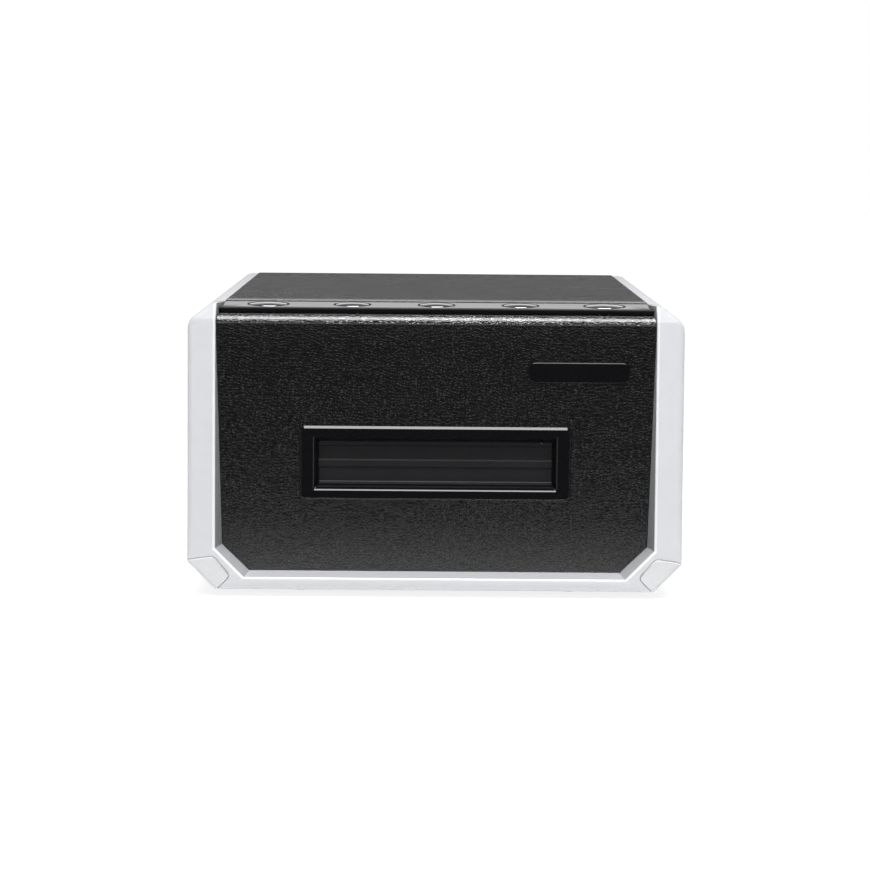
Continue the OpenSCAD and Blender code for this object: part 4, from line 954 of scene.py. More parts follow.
@dataclass
class FrontPanel(LeaningAssembly):
    """Leaning front panel: leatherette sheet with a rolled top edge, its cover and badge."""

    roll_radius: float = 4.0
    sheet: float = 0.97
    gap: float = 0.12
    roll_depth: float = 4.55
    slot_half_width: float = 44.8
    slot_half_height: float = 10.9
    inner_half: float = 77.3
    inner_low: float = 7.0
    corner_line: float = 42.539
    draft_depth: float = 8.5
    side_draft: float = 2.3
    bottom_draft: float = 1.5
    corner_draft: float = 2.2
    badge_centre: tuple[float, float] = (50.2, 79.8)
    badge_half: tuple[float, float] = (17.7, 3.6)
    badge_radius: float = 2.4
    badge_proud: float = 0.7
    badge_edge: float = 0.45
    search_steps: int = 2000

    def build(self) -> None:
        """Makes the leatherette sheet and the badge plate, and dresses the cover."""
        self.sheet_piece()
        self.badge_piece()
        self.dress(Slot.BLACK, "front_cover")

    def walls(self, depth: np.ndarray, z: np.ndarray,
              gap: float) -> tuple[np.ndarray, np.ndarray]:
        """Places of the surround's side wall and corner wall, as half widths.

        Args:
            depth: depth behind the front face.
            z: height.
            gap: clearance that is kept from both walls.

        Returns:
            The half width that each wall allows, at each depth and height.
        """
        share = np.minimum(depth / self.draft_depth, 1.0)
        side = self.inner_half - self.side_draft * share - gap
        line = self.corner_line - self.corner_draft * share - gap
        return side, line * math.sqrt(2.0) + z

    def sheet_piece(self) -> None:
        """Leatherette: rows run up the leaning flat and round the roll, columns run across.

        Row i lies at (y_i, z_i) of the side profile. Columns stand at fixed x, held inside
        plus and minus the half width of the row, so the bottom corners are cut exactly.
        Quads in the slot's rectangle are left out.
        """
        lean_y = math.cos(math.radians(self.lean))
        hole = self.slot_centre + np.array([-1.0, 1.0]) * self.slot_half_height * lean_y
        low = self.inner_low + self.bottom_draft + self.gap
        heights = np.linspace(low, self.top_z, self.search_steps)
        side, corner = self.walls(self.depth(heights), heights, 0.0)
        corner_z = heights[int(np.argmax(corner > side))]
        flat_z = np.unique(np.concatenate([
            np.linspace(low, corner_z, 5), np.linspace(corner_z, hole[0], 4), hole,
            np.linspace(hole[1], self.top_z, 6)]))
        end = math.degrees(math.acos((self.recess + self.roll_radius - self.roll_depth)
                                     / self.roll_radius))
        roll = arc((self.recess + self.roll_radius, self.top_z), self.roll_radius, 180.0,
                   180.0 - end, 14)[1:]
        z = np.concatenate([flat_z, roll[:, 1]])
        depth = np.concatenate([self.depth(flat_z), roll[:, 0]])
        columns = np.unique(np.concatenate([
            np.linspace(-self.inner_half, -self.slot_half_width, 9),
            np.linspace(-self.slot_half_width, self.slot_half_width, 9),
            np.linspace(self.slot_half_width, self.inner_half, 9)]))
        half = np.minimum(*self.walls(depth, z, self.gap))[:, None]
        x = np.clip(columns[None, :], -half, half)
        points = spread(x, (self.front_y + depth)[:, None], z[:, None])
        faces = grid_faces(len(z), len(columns))
        middle_x = (columns[faces[:, 0] % len(columns)] + columns[faces[:, 1] % len(columns)]) / 2
        middle_z = (z[faces[:, 0] // len(columns)] + z[faces[:, 2] // len(columns)]) / 2
        in_slot = ((np.abs(middle_x) < self.slot_half_width)
                   & (middle_z > hole[0]) & (middle_z < hole[1]))
        piece = new_piece("leather_front_sheet", points, faces[~in_slot])
        thicken(piece, self.sheet)
        soften(piece, 0.3, 3)
        self.add(piece, "housing", Slot.LEATHER, "front_leatherette")

    def badge_piece(self) -> None:
        """Badge plate: rounded rectangles, one behind the other, with a soft front edge.

        Ring k is a rounded rectangle shrunk by an inset, at a height above the panel. Insets
        and heights follow a quarter circle at the edge, then a shallow crown to the middle.
        """
        edge = self.badge_edge
        quarter = np.radians(np.linspace(0.0, 90.0, 6))
        inset = np.concatenate([[0.0], edge * (1.0 - np.cos(quarter)), [1.2, 2.2, 3.3, 3.6]])
        height = np.concatenate([[-0.9], self.badge_proud - edge + edge * np.sin(quarter),
                                 self.badge_proud + np.array([0.02, 0.035, 0.04, 0.04])])
        rings = np.stack([rounded_rectangle(self.badge_half[0] - i, self.badge_half[1] - i,
                                            max(self.badge_radius - i, 0.02), 8) for i in inset])
        local = spread(rings[..., 0], -height[:, None], rings[..., 1]).reshape(-1, 3)
        faces = grid_faces(len(inset), rings.shape[1], ring_columns=True)
        self.closed("badge_blank", (self.on_panel(local, *self.badge_centre), faces),
                    "housing", Slot.GLOSS, "badge_plate", fill=True)


@dataclass
class Surround(Assembly):
    """Silver front surround: bands at the sides, corners and bottom, and the corner bumpers.

    Across a corner, a is measured outward and b along it, both at 45 degrees. The skin of a
    corner is unrolled: q equals a on the face and goes on round the outer edge to the rear.
    """

    front_y: float = -129.5
    half_width: float = 87.0
    low_z: float = 2.5
    cut: float = 10.2
    inner_half: float = 77.3
    inner_low: float = 7.0
    bands: tuple[float, float, float] = (4.5, 10.0, 9.7)
    corner_inner: float = 42.538
    face_fall: float = 1.8
    slope_angle: float = 38.48
    slope_line: float = 124.6
    slope_band: float = 6.0
    draft_depth: float = 8.5
    drafts: tuple[float, float, float] = (1.5, 2.2, 2.3)
    back: float = 16.0
    inner_round: float = 0.75
    outer_round: float = 1.0
    band_round: float = 1.9
    seat_depth: float = 0.5
    seat_gap: float = 0.22
    seat_edge: float = 0.24
    seat_back: float = 12.2
    bumper_lift: float = 0.28
    bumper_sheet: float = 1.3
    rear_y: float = 129.5
    side_top: float = 91.0
    top_run: float = 12.3
    shoulder: tuple[tuple[float, float], ...] = ((87.0, 93.8), (87.0, 97.1), (84.6, 98.85))
    top_slope: tuple[tuple[float, float], ...] = ((79.4, 102.8), (78.25, 103.2))
    wall_rows: int = 5
    round_steps: int = 7
    face_rows: int = 54
    # painted highlight on the rows round the edge of the opening, from the wall to the face
    painted_light: tuple[float, ...] = (0.2, 0.6, 1.0, 1.0, 1.0, 1.0, 0.5)
    # painted shade on the recess walls of the bottom, corner, side and top segments
    recess_shade: tuple[float, ...] = (-0.28, -0.4, -0.6, -0.6)
    bumper: tuple[tuple[float, float], ...] = (
        (52.0, 70.25), (45.54, 65.62), (44.97, 64.49), (45.4, 57.56), (45.96, 56.43),
        (46.81, 56.14), (52.0, 56.14))

    def build(self) -> None:
        """Makes the surround and its bumpers."""
        self.surround_piece()
        self.bumper_piece()

    @property
    def corner_outer(self) -> float:
        """Outer line of the corner band."""
        return self.corner_inner + self.bands[1]

    def inner(self, depth: np.ndarray) -> np.ndarray:
        """Inner edge of every station at a depth, from the bottom middle to the top right.

        The side, corner and bottom walls slope inward down to the draft depth. Their meeting
        points are the two folds, and stations are spaced evenly between the folds.

        Args:
            depth: one depth for each station.

        Returns:
            Points x, z, one to a station.
        """
        share = np.minimum(depth / self.draft_depth, 1.0)
        low = self.inner_low + self.drafts[0] * share
        line = (self.corner_inner - self.drafts[1] * share) * math.sqrt(2.0)
        side = self.inner_half - self.drafts[2] * share
        first = np.stack([low + line, low], 1)
        second = np.stack([side, side - line], 1)
        last = np.stack([side, np.full_like(side, self.side_top)], 1)
        t = self.spacing
        return self.by_segment(
            np.stack([first[:, 0] * t, first[:, 1]], 1),
            first + (second - first) * t[:, None],
            second + (last - second) * t[:, None],
            np.stack([side, self.side_top + self.top_run * t], 1))

    def outer(self) -> np.ndarray:
        """Outer edge of every station: bottom, cut, side wall, round shoulder and top slope."""
        first = np.array([self.half_width - self.cut, self.low_z])
        second = np.array([self.half_width, self.low_z + self.cut])
        last, corner, end = (np.array([point]) for point in self.shoulder)
        t = self.spacing[:, None]
        path = np.concatenate([bezier(last, corner, end, 40)[0], self.top_slope])
        length = np.concatenate([[0.0], np.cumsum(np.hypot(*np.diff(path, axis=0).T))])
        way = self.spacing * length[-1]
        top = np.stack([np.interp(way, length, path[:, 0]), np.interp(way, length, path[:, 1])], 1)
        return self.by_segment(first * np.concatenate([t, np.ones_like(t)], 1),
                               first + (second - first) * t, second + (last - second) * t, top)

    def by_segment(self, *choices: np.ndarray) -> np.ndarray:
        """Picks each station's point from the array of its own segment."""
        return np.choose(self.segment[:, None], choices)

    def stations(self) -> None:
        """Spaces the stations: dense in the corner for the seat, and beside each fold."""
        fold = 0.03
        bottom = np.concatenate([np.linspace(0.0, 0.98, 8), [0.993]])
        corner = np.concatenate([[0.0], np.linspace(0.006, 0.994, 112)])
        side = np.concatenate([[0.0, 0.005], np.linspace(fold, 0.97, 8)])
        top = np.linspace(0.0, 1.0, 40)
        self.spacing = np.concatenate([bottom, corner, side, top])
        self.segment = np.repeat([0, 1, 2, 3], [len(bottom), len(corner), len(side), len(top)])

    def face_depth(self, x: np.ndarray, z: np.ndarray) -> np.ndarray:
        """Depth of the face: the greatest of four slopes that fall to the outer edges."""
        turn = math.radians(self.slope_angle)
        slopes = [
            (x - self.inner_half) / self.bands[2],
            (self.inner_low - z) / self.bands[0],
            ((x - z) / math.sqrt(2.0) - self.corner_inner) / self.bands[1],
            (x * math.sin(turn) + z * math.cos(turn) - self.slope_line) / self.slope_band]
        return self.face_fall * np.clip(np.max(slopes, axis=0), 0.0, 1.0)

    def corner_skin(self, q: np.ndarray) -> tuple[np.ndarray, np.ndarray]:
        """Section of the corner's skin: face, rounding and outer wall.

        Args:
            q: unrolled distance across the corner.

        Returns:
            Points (a, depth) and outward normals (a, depth).
        """
        r, fall = self.outer_round, self.face_fall / self.bands[1]
        edge = self.corner_outer
        start = np.array([edge - r, self.face_fall - r * fall])
        corner = np.array([edge, self.face_fall])
        end = np.array([edge, self.face_fall + r])
        t = np.clip((q - edge + r) / (2 * r), 0.0, 1.0)[..., None]
        curve = (1 - t) ** 2 * start + 2 * t * (1 - t) * corner + t ** 2 * end
        before = np.minimum(q - edge + r, 0.0)[..., None] * np.array([1.0, fall])
        after = np.maximum(q - edge - r, 0.0)[..., None] * np.array([0.0, 1.0])
        tangent = (1 - t) * (corner - start) + t * (end - corner)
        normal = np.stack([tangent[..., 1], -tangent[..., 0]], -1)
        return curve + before + after, normal / np.linalg.norm(normal, axis=-1, keepdims=True)

    def section_rows(self) -> np.ndarray:
        """Rows of every station: inner wall, inner rounding, face, outer rounding, outer wall."""
        inside, outside = self.inner(np.zeros(len(self.spacing))), self.outer()
        band = np.choose(self.segment, [*self.bands, self.bands[2]])
        width = np.linalg.norm(outside - inside, axis=1)
        band = np.where(self.segment == 3, np.minimum(width, self.bands[2]), band)

        def wall(depth: np.ndarray) -> np.ndarray:
            """Row of the inner wall at a depth for each station."""
            return np.concatenate([self.inner(depth), depth[:, None]], 1)

        def face(share: np.ndarray) -> np.ndarray:
            """Row of the face at a share of the way from the inner to the outer edge."""
            at = inside + (outside - inside) * share[:, None]
            return np.concatenate([at, self.face_depth(at[:, 0], at[:, 1])[:, None]], 1)

        def rim(depth: np.ndarray) -> np.ndarray:
            """Row of the outer wall at a depth for each station."""
            return np.concatenate([outside, depth[:, None]], 1)

        nothing = np.zeros(len(band))
        near = self.face_depth(inside[:, 0], inside[:, 1])
        far = self.face_depth(outside[:, 0], outside[:, 1])
        first = np.minimum(self.inner_round / band, 0.42)
        growth = np.choose(self.segment, [(1.0 - self.spacing) / 0.1, nothing, self.spacing / 0.1,
                                          nothing + 1.0])
        turn = self.outer_round + (self.band_round - self.outer_round) * np.minimum(growth, 1.0)
        last = 1.0 - np.minimum(turn / band, 0.42)
        rows = [wall(nothing + d) for d in (self.back, self.draft_depth + 0.3, self.draft_depth,
                                            self.draft_depth - 0.3, 5.0)]
        rows += list(bezier(wall(near + self.inner_round), wall(near), face(first),
                            self.round_steps).transpose(1, 0, 2))
        rows += [face(first + (last - first) * s)
                 for s in np.linspace(0.0, 1.0, self.face_rows + 2)[1:-1]]
        rows += list(bezier(face(last), rim(far), rim(far + turn),
                            self.round_steps).transpose(1, 0, 2))
        start = self.face_fall + self.band_round
        rows += [rim(nothing + d) for d in np.concatenate([
            np.linspace(start + 0.3, self.seat_back - 0.5, 7),
            np.linspace(self.seat_back - 0.3, self.seat_back + 0.3, 7), [15.7, self.back]])]
        return np.stack(rows, 1)

    def unrolled(self, grid: np.ndarray) -> tuple[np.ndarray, np.ndarray]:
        """Unrolled coordinates q and b of grid points in the corner."""
        x, z, depth = np.moveaxis(grid, 2, 0)
        a = (x - z) / math.sqrt(2.0)
        return a + np.maximum(depth - self.face_fall * np.clip(
            (a - self.corner_inner) / self.bands[1], 0.0, 1.0), 0.0), (x + z) / math.sqrt(2.0)

    def seat_outline(self) -> np.ndarray:
        """Outline of the bumper in q and b, carried on round the edge to the rear."""
        rear = self.corner_outer - self.face_fall + self.seat_back - self.seat_gap
        return np.array([*self.bumper, (rear, 56.14), (rear, 70.25)])

    def surround_piece(self) -> None:
        """Carries the section round the opening and sinks a seat into each bottom corner.

        Station s and row r give a point; the right half is mirrored to the left. In the
        corner, a point moves inward along the skin's normal by the seat's depth times a
        smooth step of its distance to the bumper's outline. The recess walls get painted
        shade, the edge of the opening a painted highlight, and the bottom band a painted
        highlight that fades from its inner edge to plain.
        """
        self.stations()
        grid = self.section_rows()
        q, b = self.unrolled(grid)
        inside = self.seat_gap - polygon_distance(q, b, self.seat_outline())
        step = np.clip(inside / self.seat_edge + 0.5, 0.0, 1.0)
        sink = self.seat_depth * step ** 2 * (3 - 2 * step)
        sink *= (self.segment == 1)[:, None] * (q > self.corner_inner + 0.5)
        _, normal = self.corner_skin(q)
        root = math.sqrt(0.5)
        grid[..., 0] -= sink * normal[..., 0] * root
        grid[..., 1] += sink * normal[..., 0] * root
        grid[..., 2] -= sink * normal[..., 1]
        points = np.stack([grid[..., 0], self.front_y + grid[..., 2], grid[..., 1]], -1)
        points = np.concatenate([points[:0:-1] * [-1, 1, 1], points])
        stations, rows = points.shape[:2]
        segment = np.concatenate([self.segment[:0:-1], self.segment])
        # painted light of every point, zero where the silver shows its own colour
        painted_light = np.zeros((stations, rows))
        edge = self.wall_rows + 1
        face = self.wall_rows + self.round_steps
        # painted highlight on the bottom band, lightest at its inner edge and fading to plain
        bottom_highlight = np.linspace(0.5, 0.0, self.face_rows)
        painted_light[:, face:face + self.face_rows] = bottom_highlight * (segment == 0)[:, None]
        # painted shade on the recess walls
        painted_light[:, :edge] = np.choose(segment, self.recess_shade)[:, None]
        # painted highlight round the edge of the opening
        painted_light[:, edge:face + 1] = self.painted_light
        self.closed("front_surround_shell",
                    (points.reshape(-1, 3), grid_faces(stations, rows, ring_columns=True)),
                    "housing", Slot.SILVER, "front_surround", sharp=40.0, fill=True,
                    painted_light=painted_light)

    def bumper_piece(self) -> None:
        """Plates on the four outer corners: bent ones in front and flat ones at the rear.

        A front plate's row lies at one q, and its points run evenly in b between the
        outline's two sides at that q. The skin is lifted along its normal.
        """
        edge, r = self.corner_outer, self.outer_round
        rear = self.seat_outline()[-1, 0]
        q = np.concatenate([[44.97, 45.2, 45.4, 45.54, 45.96, 46.81], [49.0, edge - r - 0.1],
                            np.linspace(edge - r, edge + r, 10), [edge + r + 0.1, 58.0, rear]])
        low = np.interp(q, [44.97, 45.4, 45.96, 46.81], [64.49, 57.56, 56.43, 56.14])
        high = np.interp(q, [44.97, 45.54, 52.0], [64.49, 65.62, 70.25])
        share = np.linspace(0.0, 1.0, 12)
        b = low[:, None] + (high - low)[:, None] * share
        skin, normal = self.corner_skin(np.broadcast_to(q[:, None], b.shape))
        skin = skin + normal * self.bumper_lift
        front = self.corner_points(skin[..., 0], b, skin[..., 1])
        middle = (self.half_width + self.low_z) / math.sqrt(2.0)
        flat_b, flat_y = np.meshgrid(middle + np.array([-4.8, 0.0, 4.8]), np.array(
            [self.rear_y - 13.8, self.rear_y - 8.0, self.rear_y - 2.2]), indexing="ij")
        back = self.corner_points(np.full(flat_b.shape, edge + self.bumper_lift), flat_b,
                                  flat_y - self.front_y)
        parts = []
        for grid in (front, back):
            faces = grid_faces(*grid.shape[:2])
            flat = grid.reshape(-1, 3)
            parts += [(flat, faces[:, ::-1]), (flat * [-1, 1, 1], faces)]
        points, faces = join_surfaces(parts)
        piece = new_piece("corner_bumper_plates", points, faces)
        thicken(piece, self.bumper_sheet)
        soften(piece, 0.32, 3, angle=35.0)
        self.add(piece, "housing", Slot.BUMPER, "corner_bumpers")

    def corner_points(self, a: np.ndarray, b: np.ndarray, depth: np.ndarray) -> np.ndarray:
        """Points of the right corner: x is (a + b) / root 2 and z is (b - a) / root 2."""
        root = math.sqrt(0.5)
        return spread((a + b) * root, self.front_y + depth, (b - a) * root)


@dataclass
class Shells(Assembly):
    """Side shells, base pan, feet and screws."""

    feet: tuple[tuple[float, float], ...] = ((-48, -103), (48, -103), (-48, 110), (48, 110))

    def build(self) -> None:
        """Rounds the mouldings and makes the feet."""
        self.rounded("left_side_shell", Slot.SILVER, 0.5, 3)
        self.rounded("right_side_shell", Slot.SILVER, 0.5, 3)
        self.rounded("base_pan", Slot.BLACK, 0.2, 2)
        self.dress(Slot.STEEL, "screws")
        self.feet_piece()

    def feet_piece(self) -> None:
        """Turned feet: a short cylinder with a round lower rim and a flat face on the table."""
        rim = arc((5.2, 0.8), 0.8, -90.0, 0.0, 5)
        profile = np.concatenate([[[0.0, 0.0]], [[3.0, 0.0]], rim, [[6.0, 3.25], [0.0, 3.25]]])
        points, faces = revolved(profile, 40)
        feet = join_surfaces([(points + [x, y, 0.0], faces) for x, y in self.feet])
        self.closed("turned_feet", feet, "housing", Slot.RUBBER, "rubber_feet", sharp=40.0)


@dataclass
class TopDeck(Assembly):
    """Top cover with its leatherette, and the button strip."""

    front_y: float = -129.5
    rear_y: float = 129.5
    front_depth: float = 21.15
    skin_z: float = 103.5
    skin: float = 1.15
    half_width: float = 74.8
    low_z: float = 99.9
    front_radius: float = 0.2
    rear_radius: float = 1.3

    def build(self) -> None:
        """Makes the top sheet and rounds the strip."""
        self.sheet_piece()
        self.dress(Slot.BLACK, "top_cover")
        self.rounded("button_strip", Slot.GLOSS, 0.15, 2)

    def sheet_piece(self) -> None:
        """Leatherette: the side profile carried straight across the cover.

        The profile goes up the front edge, round a small arc, along the flat, round the rear
        edge and down. Point (i, j) is (x_j, y_i, z_i).
        """
        front = self.front_y + self.front_depth
        first = arc((front + self.front_radius, self.skin_z - self.front_radius),
                    self.front_radius, 180.0, 90.0, 5)
        last = arc((self.rear_y - self.rear_radius, self.skin_z - self.rear_radius),
                   self.rear_radius, 90.0, 0.0, 8)
        flat_y = np.linspace(first[-1, 0], last[0, 0], 12)[1:-1]
        flat = np.stack([flat_y, np.full_like(flat_y, self.skin_z)], 1)
        profile = np.concatenate([[[front, self.skin_z - self.skin]], first, flat, last,
                                  [[self.rear_y, self.low_z]]])
        x = np.linspace(-self.half_width, self.half_width, 14)
        points = spread(x, profile[:, :1], profile[:, 1:])
        piece = new_piece("leather_top_sheet", points, grid_faces(len(profile), len(x)))
        thicken(piece, self.skin)
        soften(piece, 0.1, 2)
        self.add(piece, "housing", Slot.LEATHER, "top_leatherette")


@dataclass
class Buttons(Assembly):
    """Five domed chrome buttons in the tilted strip."""

    front_y: float = -129.5
    depth: float = 12.3
    tilt: float = 3.869
    strip_z: float = 102.6251
    dome_rise: float = 0.5
    pitch: float = 29.6
    radii: dict[str, float] = field(default_factory=lambda: {
        "power_button": 6.7, "load_button": 5.9, "eject_button": 5.9,
        "quick_scan_button": 5.9, "custom_scan_button": 6.7})

    def build(self) -> None:
        """Makes the five buttons from left to right."""
        for place, (name, radius) in enumerate(self.radii.items()):
            self.button_piece(name, (place - 2) * self.pitch, radius)

    def cap_profile(self, radius: float) -> np.ndarray:
        """Radius and height from the stem's tip up to the middle of the dome.

        The dome falls with the square of the radius, and a small round joins it to the rim.
        """
        across = np.linspace(radius - 0.15, 0.0, 16)
        dome_z = 0.1 + self.dome_rise * (1.0 - (across / (radius - 0.15)) ** 2)
        stem = np.array([[0.0, -5.0], [0.9, -5.0], [1.1, -4.8], [1.1, -3.1], [2.0, -3.1],
                         [2.0, -2.2], [radius - 0.2, -2.2], [radius, -2.0], [radius, -0.1],
                         [radius - 0.05, 0.03]])
        return np.concatenate([stem, np.stack([across, dome_z], 1)])

    def button_piece(self, name: str, x: float, radius: float) -> None:
        """Turns the cap's profile and adds its two retaining lugs.

        Args:
            name: the button's CAD node and body.
            x: its place across the strip.
            radius: radius of its cap.
        """
        cap = revolved(self.cap_profile(radius), 96)
        lugs = [box_surface((side * radius - 0.7, -1.5, -2.2), (side * radius + 0.7, 1.5, -1.7))
                for side in (-1, 1)]
        points, faces = join_surfaces([cap, *lugs])
        place = np.array([x, self.front_y + self.depth, self.strip_z])
        self.closed(name + "_cap", (turned_x(points, self.tilt) + place, faces), name,
                    Slot.CHROME, name, sharp=35.0)


@dataclass
class SlotFrame:
    """Sizes that the front and the rear slot frame share."""

    plate: tuple[float, float] = (47.8, 13.2)
    plate_radius: float = 2.2
    tube: tuple[float, float, float] = (44.6, -10.2, 10.6)
    chamber: tuple[float, float, float] = (42.0, -8.0, 8.4)
    throat: tuple[float, float] = (41.0, 7.3)
    steps: int = 8

    def ring(self, half_x: float, low: float, high: float, radius: float,
             y: float) -> np.ndarray:
        """A rounded rectangle from low to high at a depth y, as x, y, z."""
        flat = rounded_rectangle(half_x, (high - low) / 2.0, radius, self.steps)
        return spread(flat[:, 0], y, flat[:, 1] + (high + low) / 2.0)

    def level(self, half_x: float, half_z: float, radius: float, y: float) -> np.ndarray:
        """A ring that is centred on the slot."""
        return self.ring(half_x, -half_z, half_z, radius, y)

    def surface(self, rings: list[np.ndarray]) -> Shape:
        """Joins rings one after the other, and the last to the first."""
        return (np.concatenate(rings),
                grid_faces(len(rings), len(rings[0]), ring_rows=True, ring_columns=True))


@dataclass
class Flap:
    """Side view of a hanging flap, as (y, z) from the hinge frame's origin."""

    front: float
    back: float
    hinge: tuple[float, float]
    radius: float
    low: float = -7.7
    half_width: float = 41.5
    barrel_end: float = 31.0
    shell: float = 0.45
    coil_gap: float = 1.2
    coil_radius: float = 1.08
    coil_turns: float = 10.25
    coil_pitch: float = 0.5
    coil_legs: tuple[float, float] = (4.0, 4.6)
    wire_radius: float = 0.23

    @property
    def touch(self) -> float:
        """Angle in degrees where the barrel meets the plate's face."""
        return math.degrees(math.acos(max(-1.0, (self.front - self.hinge[0]) / self.radius)))

    def plate(self, face: np.ndarray) -> np.ndarray:
        """Outline of the part with the full barrel, whose face runs up from the lip."""
        barrel = arc(self.hinge, self.radius, self.touch, -90.0, 28)
        return np.concatenate([face, barrel, [[self.back, self.hinge[1] - self.radius],
                                              [self.back, self.low + 0.25],
                                              [self.back - 0.25, self.low]]])

    def cover(self, face: np.ndarray) -> np.ndarray:
        """Outline of the part beside the barrel, a thin curved wall in front of the spring."""
        outer = arc(self.hinge, self.radius, self.touch, 105.0, 12)
        inner = arc(self.hinge, self.radius - self.shell, 105.0, self.touch + 6.0, 12)
        low = self.hinge[1] - 2.2
        return np.concatenate([face, outer, inner, [
            [self.front + 0.5, low], [self.back, low], [self.back, self.low + 0.25],
            [self.back - 0.25, self.low]]])

    def coil(self) -> Shape:
        """Wire of the torsion spring round the hinge."""
        path = torsion_spring(self.barrel_end + self.coil_gap, self.hinge, self.coil_radius,
                              self.coil_turns, self.coil_pitch, self.coil_legs)
        return tube(path, self.wire_radius, 10)

    def surface(self, face: np.ndarray) -> Shape:
        """Both parts, one beside the other."""
        return join_surfaces([
            prism(self.plate(face), -self.half_width, self.barrel_end - 0.02),
            prism(self.cover(face), self.barrel_end, self.half_width)])


@dataclass
class FilmSlot(LeaningAssembly):
    """Front slot: bezel with a funnel mouth, hanging flap and its spring."""

    frame: SlotFrame = field(default_factory=SlotFrame)
    flap: Flap = field(default_factory=lambda: Flap(2.7, 4.5, (4.6, 6.2), 2.0))
    proud: float = 1.2
    bevel: tuple[float, float] = (0.8, 0.72)
    lip: tuple[float, float] = (0.4, 0.36)
    mouth: tuple[float, float] = (43.0, 9.75)
    throat_depth: float = 2.4
    tube_depth: float = 12.0
    rib: tuple[float, float, float] = (-2.0, 0.8, 2.2)

    def build(self) -> None:
        """Makes the bezel, the flap and the spring."""
        self.bezel_piece()
        self.flap_piece()
        self.closed("front_flap_coil", self.on_slot(self.flap.coil()), "housing", Slot.STEEL,
                    "front_flap_spring")
        self.dress(Slot.STEEL, "pivot_pins")

    def on_slot(self, shape: Shape) -> Shape:
        """Places a shape on the panel at the middle of the slot."""
        return self.on_panel(shape[0], 0.0, self.slot_centre), shape[1]

    def bezel_piece(self) -> None:
        """Bezel: rings from the tube's back round the plate and through the mouth.

        Each ring is a rounded rectangle at its own depth: tube, plate, bevelled front edge,
        bevelled lip, funnel, throat and the wider chamber behind it.
        """
        frame, (half_x, half_z) = self.frame, self.frame.plate
        face, (wide, deep), (lip, lip_deep) = -self.proud, self.bevel, self.lip
        rings = [
            frame.ring(*frame.tube, 0.1, self.tube_depth), frame.ring(*frame.tube, 0.1, 0.0),
            frame.level(half_x, half_z, frame.plate_radius, 0.0),
            frame.level(half_x, half_z, frame.plate_radius, face + deep + 0.1),
            frame.level(half_x - 0.06, half_z - 0.06, frame.plate_radius - 0.06, face + deep),
            frame.level(half_x - wide, half_z - wide, frame.plate_radius - wide, face),
            frame.level(self.mouth[0], self.mouth[1], 0.7, face),
            frame.level(self.mouth[0] - lip, self.mouth[1] - lip, 0.4, face + lip_deep),
            frame.level(*frame.throat, 0.15, self.throat_depth),
            frame.ring(*frame.chamber, 0.1, self.throat_depth),
            frame.ring(*frame.chamber, 0.1, self.tube_depth)]
        self.closed("slot_bezel_frame", self.on_slot(frame.surface(rings)), "housing",
                    Slot.GLOSS, "slot_bezel", sharp=14.0)

    def flap_piece(self) -> None:
        """Flap: a lip at the bottom, a rib across the middle and the hinge barrel on top."""
        low, high, out = self.rib
        front, bottom = self.flap.front, self.flap.low
        face = np.array([
            [front, bottom], [front - 0.25, bottom + 0.12], [front - 0.25, bottom + 0.5],
            [front, bottom + 0.75], [front, low - 0.15], [front - 0.15, low],
            [out, low + 0.35], [out, high - 0.35], [front - 0.15, high], [front, high + 0.15],
            [front, 4.75], [front - 0.2, 4.95], [front - 0.2, 5.6], [front, 5.75]])
        self.closed("front_flap_plate", self.on_slot(self.flap.surface(face)), "front_flap",
                    Slot.BLACK, "front_flap", sharp=30.0, fill=True)


@dataclass
class RearEnd(Assembly):
    """Rear panel with its slot, flap, sockets and vents."""

    frame: SlotFrame = field(default_factory=SlotFrame)
    flap: Flap = field(default_factory=lambda: Flap(-4.3, -2.5, (-2.4, 6.2), 1.8))
    panel_y: float = 126.5
    slot_centre: float = 47.3
    proud: float = 1.2
    inner: float = -7.0
    throat: float = -4.4

    def build(self) -> None:
        """Makes the rear frame, flap and spring, dresses the panel and rounds the sockets."""
        self.dress(Slot.BLACK, "rear_panel")
        self.frame_piece()
        self.flap_piece()
        self.closed("rear_flap_coil", self.placed(self.flap.coil()), "housing", Slot.STEEL,
                    "rear_flap_spring")
        self.rounded("usb_socket", Slot.SHEET_STEEL, 0.15, 2)
        self.rounded("power_inlet", Slot.BLACK, 0.15, 2)

    def placed(self, shape: Shape) -> Shape:
        """Moves a shape to the rear panel at the slot's height."""
        return shape[0] + np.array([0.0, self.panel_y, self.slot_centre]), shape[1]

    def frame_piece(self) -> None:
        """Rear frame: rings from the tube's inner end round the plate and into the chamber."""
        frame, (half_x, half_z) = self.frame, self.frame.plate
        radius, face = frame.plate_radius, self.proud
        wide, low, high = frame.chamber
        rings = [
            frame.ring(*frame.tube, 0.1, self.inner), frame.ring(*frame.tube, 0.1, 0.0),
            frame.level(half_x, half_z, radius, 0.0),
            frame.level(half_x, half_z, radius, face - 0.4),
            frame.level(half_x - 0.1, half_z - 0.1, radius - 0.1, face - 0.15),
            frame.level(half_x - 0.4, half_z - 0.4, radius - 0.4, face),
            frame.ring(wide + 0.3, low - 0.3, high + 0.3, 0.4, face),
            frame.ring(wide, low, high, 0.2, face - 0.3),
            frame.ring(wide, low, high, 0.2, self.throat),
            frame.level(*frame.throat, 0.15, self.throat),
            frame.level(*frame.throat, 0.15, self.inner)]
        self.closed("rear_bezel_frame", self.placed(frame.surface(rings)), "housing",
                    Slot.GLOSS, "rear_bezel", sharp=30.0)

    def flap_piece(self) -> None:
        """Rear flap: a plain plate with the hinge barrel on top."""
        front, bottom = self.flap.front, self.flap.low
        face = np.array([[front + 0.2, bottom], [front, bottom + 0.2], [front, bottom + 3.0]])
        self.closed("rear_flap_plate", self.placed(self.flap.surface(face)), "rear_flap",
                    Slot.BLACK, "rear_flap", sharp=30.0, fill=True)


